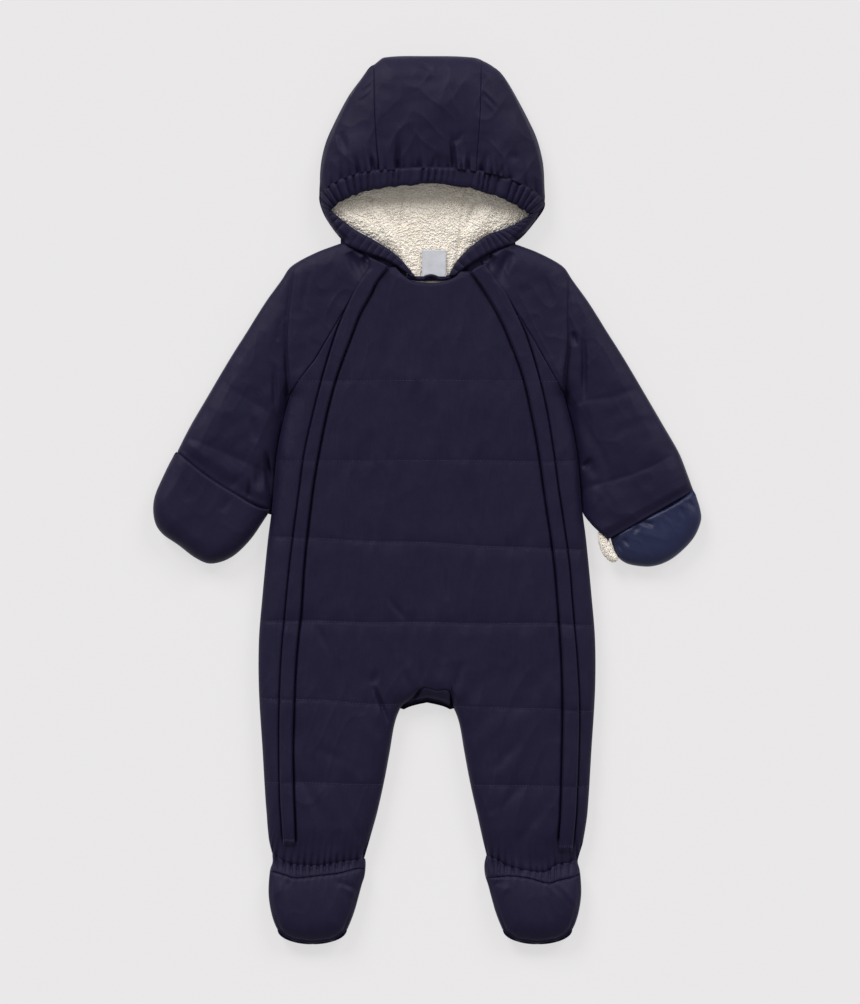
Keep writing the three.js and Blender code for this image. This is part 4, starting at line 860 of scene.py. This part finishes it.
PLUSH_EDGE = {"x": [166, 167.5, 170, 174, 180], "y": [-29, -37, -45, -52, -57.5]}
t = step(30)
ends = rounded(np.minimum(t, 1 - t), 0.12).clip(0.15, 1)
roll = tube("mitten_right_plush_roll", station(PLUSH_EDGE["x"])(t), station(PLUSH_EDGE["y"])(t), 13,
            (3.2 + 1.6 * np.sin(math.pi * t)) * ends, plush)
curls("mitten_right_curls", roll, 600000, 0.0012, 5)
sewn(roll, "mitten_right_plush", "plush", (0.0115, 0.033), held="folded")

# Ankles and feet: a gathered band under the elastic of each leg, then an upper and a sole that
# meet in a seam round the toe. All are of the padded shell cloth.
FOOT_SEAM = {
    -1: curve([-146.7, -133.9, -122.9, -98.7, -81.6, -65.5, -57],
              [-352.5, -355.8, -359.1, -356.6, -354.4, -350.3, -350]),
    1: curve([56.4, 68.5, 80.9, 98, 115.8, 127.4, 140.4, 148.9],
             [-359.1, -358.2, -357.2, -359.1, -363.9, -361, -358.2, -354.9]),
}
FOOT_CREASES = [
    (-132, -364, -145, -378, -1.6, -0.5, 2.6), (-126, -362, -142, -372, 1.2, 0.4, 2.4),
    (-80, -363, -66, -376, -1.6, -0.6, 2.4), (-86, -362, -62, -370, 1.4, 1.8, 2.4),
    (-72, -376, -61, -384, 1.2, 1.4, 2.2), (79.5, -365, 71, -378, -1.6, -0.5, 2.6),
    (74, -361, 62, -368, 1.2, 1.0, 2.4), (114, -361, 123, -376, -1.2, -0.4, 2.4),
    (120, -362, 132, -378, 1.4, 0.3, 2.4), (127, -363, 147, -389, -1.4, -0.4, 2.8),
]
FOOT_TOP, BENT_FROM = -356.3, -395


def leg_width(level, share):
    return blend(foot_outer(level), foot_inner(level), share)


def over_foot(level, share):
    """Across a foot from its outer to its inner edge, closing in an arc round the toe."""
    arc = TOE_HALF * np.sqrt(1 - ramp(level, TOE_FROM, TOE_FROM - TOE_DEEP) ** 2)
    return np.where(level < TOE_FROM, TOE_MIDDLE + blend(arc, -arc, share), leg_width(level, share))


def foot_grid(rows, share, seam_at):
    """Rows from a foot's seam to its toe: their x, their y and the seam's y above each place."""
    level = FOOT_TOP + (TOE - FOOT_TOP) * np.sin(math.pi / 2 * column(rows))
    seam = seam_at(over_foot(level, share)) - SEAM
    y = level + (seam - FOOT_TOP) * ramp(level, BENT_FROM, FOOT_TOP)
    return over_foot(y, share), y, seam


for side, hand in SIDES:
    across, down = np.r_[0, 0.015 + 0.97 * step(110), 1], column(20)
    px = leg_width(blend(ANKLE, -356, down), across)
    py = blend(elastic_line(side * px) - SEAM, FOOT_SEAM[side](side * px) + SEAM, down)
    px = leg_width(py, across)
    folds = 4.8 * (ankle_puckers(side * px) - 0.8) * (0.35 + 0.65 * (1 - down))
    z = front_height(side * px, py) + folds - rolled(down, 0.15, 0.5) - rolled(1 - down, 0.2, 0.9)
    z = np.maximum(z, RIM)
    z[:, 0] = z[:, -1] = MID
    qy = blend(py[:, -1:], py[:, :1], step(14))
    qx = leg_width(qy, 0.985 - 0.97 * step(14))
    qz = curled(inside(qx, qy))
    x, y, z = (np.c_[over, under, over[:, :1]] for over, under in ((px, qx), (py, qy), (z, qz)))
    panel(f"ankle_band_{hand}", side * x, y, z, (0.02, 0.19), held="gathered", ring=True)

    px, py, seam = foot_grid(
        64, np.r_[0, 0.01, 0.03 + 0.94 * step(60), 0.99, 1], lambda x: FOOT_SEAM[side](side * x))
    far = inside(px, py)
    soft = relief(px, py, [(0.45, 22, 12, 60, 64 + side)], [(0.35, 20, 11, 110, 66 + side)])
    soft = soft + 2.0 * (ankle_puckers(side * px) - 0.8) * np.exp((py - seam) / 5)
    z = front_height(side * px, py) + (soft - folded(side * px, py, FOOT_CREASES)) * rounded(far, 9)
    z = np.maximum(z - rolled(seam - py, 2, 0.9) - 1.3 * dip(far - 3.0, 0.8), RIM)
    panel(f"foot_upper_{hand}", *hem(side * px, py, z, 1, 0, 1.5, 2.0), (0.10, 0.075), 0.0062, turn=12)

    ends = [FOOT_SEAM[side](side * edge(FOOT_TOP)) for edge in (foot_outer, foot_inner)]
    px, py, _ = foot_grid(26, step(20), lambda _: blend(*ends, step(20)))
    panel(f"foot_sole_{hand}", side * px, py, curled(inside(px, py)), (0.10, 0.075), 0.0062, turn=12)

# Hood: a centre panel from the brim over the crown to the nape, and a side panel on either side,
# padded like the body. It lies flat, with its face opening up, and is gathered along the brim.
HOOD_LOFT, HOOD_ROUND, HOOD_WALL, HOOD_NAPE = 24, 60, 7, 226
HOOD_SIDES = {
    "y": [246, 255, 266, 280, 295, 318, 337, 352, 383, 401, 409, 415],
    "left": [-78.3, -88.4, -95.2, -101, -102, -101, -97, -91, -75, -62, -56, -49],
    "right": [83.5, 95, 103.3, 111.7, 111.7, 110.5, 106.4, 100.8, 84.8, 74, 67, 59],
}
CROWN = {"x": [-56, -49, -41, 0, 43, 56, 67], "y": [409, 415, 420.5, 421.8, 420.5, 416, 409]}
HOOD_SEAMS = {
    "y": [226, 318, 335, 369, 409],
    "left": [-47, -46, -47.7, -49.8, -50.6],
    "right": [47, 47.3, 48.2, 50.7, 51.5],
}
# The band round the face: its outer edge, its edge at the face, and the heights of its two sides.
BAND = {
    "ox": [-15.5, -33.3, -55, -77, -95.2, -102.4, -98.8, -85.5, -60, -25, 5, 35, 66, 92, 107.6,
           112, 103.3, 86, 62, 41, 26.5],
    "oy": [212.8, 225.2, 233.6, 243.6, 266, 285, 294.5, 303.5, 312, 315, 316, 314.5, 309.5, 300, 289,
           279.3, 265, 246.2, 236, 223.6, 213.2],
    "ix": [-10.5, -28.5, -48, -68.4, -87.4, -90.3, -86.5, -77, -58, -25, 4, 34, 63, 84, 94, 96.5,
           87.4, 70, 54, 32, 20.5],
    "iy": [211.8, 232.3, 245.6, 257, 271.5, 275.5, 279.8, 285.2, 292.4, 297.6, 299.2, 297, 288.9,
           279.8, 273.5, 270.5, 263.8, 256.5, 249.9, 231.5, 213.2],
    "top": [18, 19, 19.5, 20, 20, 21, 23, 27, 31, 33.5, 34, 33.5, 31, 27, 23, 21, 20, 20, 19.5, 19, 18],
    "under": [9.15, 9.15, 9.15, 9.15, 9.15, 11, 13.6, 16, 21, 24, 25, 24, 21, 16, 13.6, 11, 9.15,
              9.15, 9.15, 9.15, 9.15],
}
HOOD_NECK = {
    -1: {"x": [-47.6, -63, -78, -95.2, -102, -101.7], "y": [226.8, 234.6, 246.8, 266, 284, 306]},
    1: {"x": [47.6, 64, 83, 97, 104.5, 111.6, 111.6], "y": [226.8, 235.2, 247.2, 257.5, 267.5, 280, 299]},
}
HOOD_CREASES = [
    (-27.5, 350, -27.5, 308, 0.2, 4.6, 2.4), (-33, 332, -26, 310, 0.2, 2.6, 2.2),
    (23, 352, 25.5, 308, 0.2, 4.8, 2.4), (25, 338, 36, 350, 1.2, 0.2, 3),
    (-56, 334, -48, 306, 0.2, 3.4, 2.2), (-70, 328, -61, 302, 0.2, 3.0, 2.2),
    (-7, 326, -9, 308, 0.2, 2.4, 2.4), (8, 330, 4, 308, 0.2, 2.4, 2.4), (41, 332, 37, 308, 0.2, 2.8, 2.2),
    (58, 332, 49, 304, 0.2, 3.2, 2.2), (74, 320, 64, 298, 0.2, 2.6, 2.2),
    (-89, 348.5, -82.5, 327, -1.6, -0.4, 3.2), (-83, 350, -76, 328, 1.4, 0.6, 4),
    (-10.5, 415, 5.5, 407, 1.2, 1.0, 2.2), (-34, 398, 22, 396, 0.5, 0.6, 5),
    (-62, 389, -50, 402, -0.9, -0.5, 2.0), (-66, 380, -52, 390, -0.7, -0.4, 2.0),
    (52, 391, 68, 374, -0.9, -0.5, 2.0), (53, 382, 66, 366, -0.7, -0.3, 2.0),
    (69.5, 300, 83, 307, 2.0, 0.6, 2.6), (86, 322, 78, 330, 1.0, 0.3, 4),
]
crown = curve(CROWN["x"], CROWN["y"])
hood_edge = {side: curve(HOOD_SIDES["y"], HOOD_SIDES[hand]) for side, hand in SIDES}
hood_seam = {side: curve(HOOD_SEAMS["y"], HOOD_SEAMS[hand]) for side, hand in SIDES}
brim_line = curve(BAND["ox"][5:16], BAND["oy"][5:16])
HOOD_EDGES = [(np.r_[HOOD_SIDES["left"], CROWN["x"], HOOD_SIDES["right"][::-1]],
               np.r_[HOOD_SIDES["y"], CROWN["y"], HOOD_SIDES["y"][::-1]])]


def hood_height(x, y):
    return RIM + HOOD_LOFT * rounded(distance(HOOD_EDGES, x, y), HOOD_ROUND)


def hood_under(x, y):
    return curled(distance(HOOD_EDGES, x, y))


def hood_face(x, y):
    """The hood's upper side as the cloth shows it: folds, gathers at the brim and the seams' pull."""
    far = distance(HOOD_EDGES, x, y)
    above_brim = np.maximum(y - brim_line(x), 0)
    gathers = 4.4 * (puckers(x + 0.1 * above_brim, 8.5, 90) - 0.8) + 1.4 * rumple(x, y, 17, 40, 0, 91)
    soft = relief(x, y, [(0.6, 30, 22, 75, 92), (0.2, 13, 9, 0, 95)],
                  [(0.5, 36, 18, 62, 93), (0.4, 30, 16, -50, 94)])
    soft = 1.5 * soft + gathers * np.exp(-above_brim / 10) - 1.7 * folded(x, y, HOOD_CREASES)
    seams = np.minimum(*(np.abs(x - seam(y)) for seam in hood_seam.values()))
    soft = soft - 0.5 * dip(seams, 6) + 0.35 * dip(seams, 9) * rumple(x, y, 20, 8, 0, 96)
    return hood_height(x, y) + soft * rounded(far, 12) - rolled(seams, 1.6, 0.6)


over, under = 0.99 * step(84), 0.985 - 0.985 * step(18)
rows = np.r_[over, 1, under][:, None]
guess = blend(-48, 48, step(120))
low = np.where(np.arange(len(rows))[:, None] <= len(over), brim_line(guess) - 2, HOOD_NAPE + 2 * SEAM)
y = blend(low, crown(guess * 1.06), rows)
x = blend(hood_seam[-1](y) + SEAM / 2, hood_seam[1](y) - SEAM / 2, step(120))
z = np.maximum(hood_face(x, y), RIM)
z[len(over)] = MID
z[len(over) + 1:] = hood_under(x, y)[len(over) + 1:]
panel("hood_centre", x, y, z, (0.105, 0.34), 0.0315, "folded")

for side, hand in SIDES:
    edge, seam, neck = hood_edge[side], hood_seam[side], HOOD_NECK[side]
    across = np.r_[0.985 * step(74), 1, 0.97 - 0.97 * step(16)]
    number = np.arange(len(across))
    is_over, at_fold = number <= 75, number == 75
    t, tip = column(84), neck["y"][-1]
    fold_y = blend(407, tip, t)
    brim_x = seam(318) + side * SEAM
    brim_y = brim_line(brim_x)
    seam_y = blend(crown(seam(412)) - SEAM, np.where(is_over, brim_y + SEAM, neck["y"][0]), t)
    x = blend(seam(seam_y) + side * SEAM, edge(fold_y), across)
    y = blend(seam_y, fold_y, across) + 0.9 * np.sin(math.pi * across) * (1 - t) ** 2
    over_y = y + t * (brim_line(blend(brim_x, edge(tip), across)) - 2 - blend(brim_y, tip, across))
    under_x = x + t * (station(neck["x"])(across) - blend(neck["x"][0], edge(tip), across))
    under_y = y + t * (station(neck["y"])(across) - blend(neck["y"][0], tip, across))
    x = np.where(is_over, x, under_x)
    y = np.where(at_fold, y, np.where(is_over, over_y, under_y))
    z = np.where(is_over, np.maximum(hood_face(x, y), RIM), hood_under(x, y))
    x, y, z = hem(x, y, np.where(at_fold, MID, z), 2, 0, 1.5, 2.5)
    panel(f"hood_side_{hand}", x, y, z, (0.16, 0.20), 0.015, "folded")

# Face band: a casing of the shell cloth round the whole face opening, drawn up by the elastic in
# it into close uneven puckers.
BAND_WIDTH = 14
outer_x, outer_y, inner_x, inner_y, band_top, band_under = (station(line) for line in BAND.values())
t = column(900)
share = np.r_[0, 0.04, 0.1 + 0.8 * step(12), 0.96, 1]
x, y = blend(outer_x(t), inner_x(t), share), blend(outer_y(t), inner_y(t), share)
length = np.cumsum(np.hypot(np.gradient(outer_x(t[:, 0])), np.gradient(outer_y(t[:, 0]))))[:, None]
brim_part = ramp(np.minimum(t - 0.22, 0.78 - t), 0, 0.06)
ruffle = 4.0 * (puckers(length + 1.5 * share, 7.6, 100) - 0.75)
ruffle = ruffle + 0.8 * rumple(length, 5 * share, 15, 9, 0, 101)
ruffle = ruffle * (0.75 + 0.45 * waver(length, 17, 103)) * (0.4 + 0.6 * brim_part)
profile = rounded(share * BAND_WIDTH, 3.2) * rounded((1 - share) * BAND_WIDTH, 4.5)
z = np.minimum(band_top(t), hood_height(x, y)) - 1.6 + 2.6 * profile + ruffle * (0.35 + 0.65 * profile)
y = y + 1.1 * waver(length, 5.2, 102) * ramp(share, 0.5, 1) * brim_part
panel("face_band", x, y, np.maximum(z, band_under(t) + EDGE), (0.019, 0.62), held="gathered", turn=4)

# Lining: the whole suit is lined with cream plush, which shows in the hood in three pieces, on its
# floor and under its roof. Curls of pile stand on a soft, hollowed ground.
lining_low = curve(
    [-92, -78, -53, -36, -24, -15, -6, 15, 20, 30, 41, 54, 80, 98],
    [275.5, 266, 251.5, 241, 229, 210, 207.3, 207.3, 211, 229, 242.5, 252.5, 263.5, 271])
lining_high = curve(
    [-92, -78, -53, -36, -24, -15, -6, 15, 20, 30, 41, 54, 80, 98],
    [277.5, 300, 330, 348, 362, 376, 384, 384, 378, 366, 350, 332, 304, 273.5])
PLUSH = 4
LINING_FOLDS = [
    (-59, 292.5, -50, 283, 1.5, 2.2, 2.6), (-53, 284, -15, 217, -2.8, -2.0, 6),
    (-46, 288, -22, 240, 1.6, 0.8, 3), (49.5, 292.5, 32.5, 250, 2.2, 2.4, 2.8),
    (32.5, 250, 27.5, 226, 2.4, 1.0, 2.8), (62, 284, 40, 244, -2.6, -2.0, 7),
    (-74, 272, -34, 243, -1.4, -1.2, 6),
]


def pile_height(x, y):
    return relief(x, y, [(0.3, 4.2, 3.6, 20, 110), (0.15, 2.6, 2.4, 70, 111), (0.4, 12, 10, 40, 112)])


t = column(110)
left_seam, right_seam = -24.6 + 2.2 * (t - 0.3), 33 + 16.5 * (t - 0.3)
for name, start, end, cut in (
        ("lining_left", -91, left_seam - SEAM, ((0.065, 0.15), 0.005)),
        ("lining_centre", left_seam, right_seam, ((0.08, 0.18), 0.0103)),
        ("lining_right", right_seam + SEAM, 97, ((0.06, 0.14), 0.004))):
    x = blend(start, end, step(50))
    low = lining_low(x) - 1.8
    y = blend(low, lining_high(x), t)
    seams = np.minimum(np.abs(x - left_seam), np.abs(x - right_seam))
    z = MID + 1.4 + (PLUSH - 1.2) * rounded(y - low, 14) + pile_height(x, y) - 1.6 * dip(seams, 1.8)
    z = np.maximum(z - 1.3 * folded(x, y, LINING_FOLDS), MID + 1.3)
    ground = cloth(f"{name}_ground", x, y, z, plush, turn=1.0)
    curls(f"{name}_curls", ground, 420000, 0.0012, 7)
    sewn(ground, name, "plush", *cut, on="hood_centre_shell")

across, t = 2 * step(70) - 1, column(60)
x = blend(-84, 92, (across + 1) / 2) + 0 * t
top = np.minimum(crown(x * 0.9) - 14, 300 + 110 * rounded(1 - np.abs(across), 1))
y = blend(brim_line(x) - 9, top, t)
z = np.maximum(hood_height(x, y) - HOOD_WALL - 1.0 + pile_height(x, y), MID + 2.2)
sewn(cloth("hood_roof_lining", x, y, z, plush, inward=True, turn=0.5),
     None, "plush", (0.18, 0.12), 0.0165, on="hood_centre_shell")

# Neck: between the band and the tops of the sleeves the shell cloth is tucked down in a dark fold
# that lies over the back, lowest in the middle.
under_band = curve([-82, -55, -33, -15, 26, 41, 62, 84], [248, 237, 228.5, 216, 217, 227, 239.5, 249])
x = blend(-82, 84, step(110)) + 0 * column(28)
y = blend(204, under_band(x), column(28))
raised = 13.5 + 1.3 * rumple(x, y, 30, 9, 40, 120)
z = blend(9.6, np.minimum(raised, front_height(x, y) - 2.2), ramp(np.abs(x - 3), 28, 36))
sewn(cloth("neck_tuck_shell", x, y, np.maximum(z, MID + 0.3), shell, turn=0.3),
     None, "shell", (0.17, 0.030))

# Binding: a narrow strip of the shell cloth over the edge of the lining at the nape, between the two
# ends of the face band.
x = blend(-20, 24, step(50))
y = station([210.0, 208.3, 208.0, 208.0, 208.1, 210.0])(step(50)) + 4.4 * column(8)
z = 14.2 + 1.2 * np.sin(math.pi * column(8)) + 0.5 * rumple(x, y, 6, 9, 0, 121)
sewn(cloth("nape_binding_shell", x, y, z, shell, turn=2.0),
     None, "shell", (0.010, 0.040), held="folded", on="lining_centre_ground")

# Label and hanger loop: a small woven label, left bare, over the lining at the nape, and a loop of
# rolled shell cloth below it.
label_cloth, shader, place = finish_of("bare woven label", 0.6, 0.35, 0.05)
at = place.node("ShaderNodeUVMap", uv_map="weave")
warp = (at.part("X") * (2 * math.pi / 0.0005)).sine()
weft = (at.part("Y") * (2 * math.pi / 0.0004)).sine()
soft = place.noise(200.0, 3.0)
soft.tint((0.46, 0.47, 0.515), (0.57, 0.58, 0.617)).feed(shader, "Base Color")
(warp * weft * 0.5 + soft).bump(0.4, 0.0002).feed(shader, "Normal")
x, y = np.meshgrid(blend(-4.75, 18, step(22)), blend(212, 237.5, step(26)))
z = 15.7 + 0.6 * rumple(x, y, 16, 12, 20, 130) + 0.025 * (y - 212)
sewn(cloth("neck_label_cloth", x, y, z, label_cloth, turn=0.6),
     "neck_label", "label", (0.0228, 0.0255), on="lining_centre_ground")

x = station([-3.8, -1.5, 3.8, 9, 11.4])(step(40))
y = station([209.8, 211.8, 213.2, 211.8, 209.8])(step(40))
sewn(tube("hanger_loop_cord", x, y, 17.4, 1.3, shell),
     "hanger_loop", "shell", (0.010, 0.020), 0.00006, held="folded")

# Table, light and camera: a plain pale table, lit a little from within like a light table, two large
# soft lights from beyond the hood, an even white room, and a camera straight above.
floor_finish, shader, place = finish_of("pale table", 0.9, 0.1)
place.noise(3.0, 3.0).tint((0.157, 0.154, 0.155), (0.163, 0.160, 0.161)).feed(shader, "Base Color")
shader.inputs["Emission Color"].default_value = (1.0, 0.982, 0.99, 1)
shader.inputs["Emission Strength"].default_value = 0.641
bpy.ops.mesh.primitive_grid_add(x_subdivisions=8, y_subdivisions=8, size=6, location=(0, 0, 0))
table_top = bpy.context.object
table_top.name = "table_top"
table_top.data.materials.append(floor_finish)

world = bpy.data.worlds.new("white room")
bpy.context.scene.world = world
world.use_nodes = True
world.node_tree.nodes["Background"].inputs["Color"].default_value = (1.0, 1.0, 1.0, 1)
world.node_tree.nodes["Background"].inputs["Strength"].default_value = 0.42
for name, energy, turn in (("left soft box", 2.4, 34), ("right soft box", 1.5, -40)):
    lamp = bpy.data.lights.new(name, "SUN")
    lamp.energy, lamp.angle = energy, math.radians(26)
    shown(name, lamp).rotation_euler = (math.radians(-56), 0, math.radians(turn))

lens = bpy.data.cameras.new("camera")
lens.sensor_fit, lens.sensor_height, lens.lens = "VERTICAL", 36, 377.4
lens.clip_end = 40
camera = shown("camera", lens)
camera.location = (0.00285, -0.0019, 10.009)
bpy.context.scene.camera = camera
bpy.context.scene.view_settings.view_transform = "Standard"
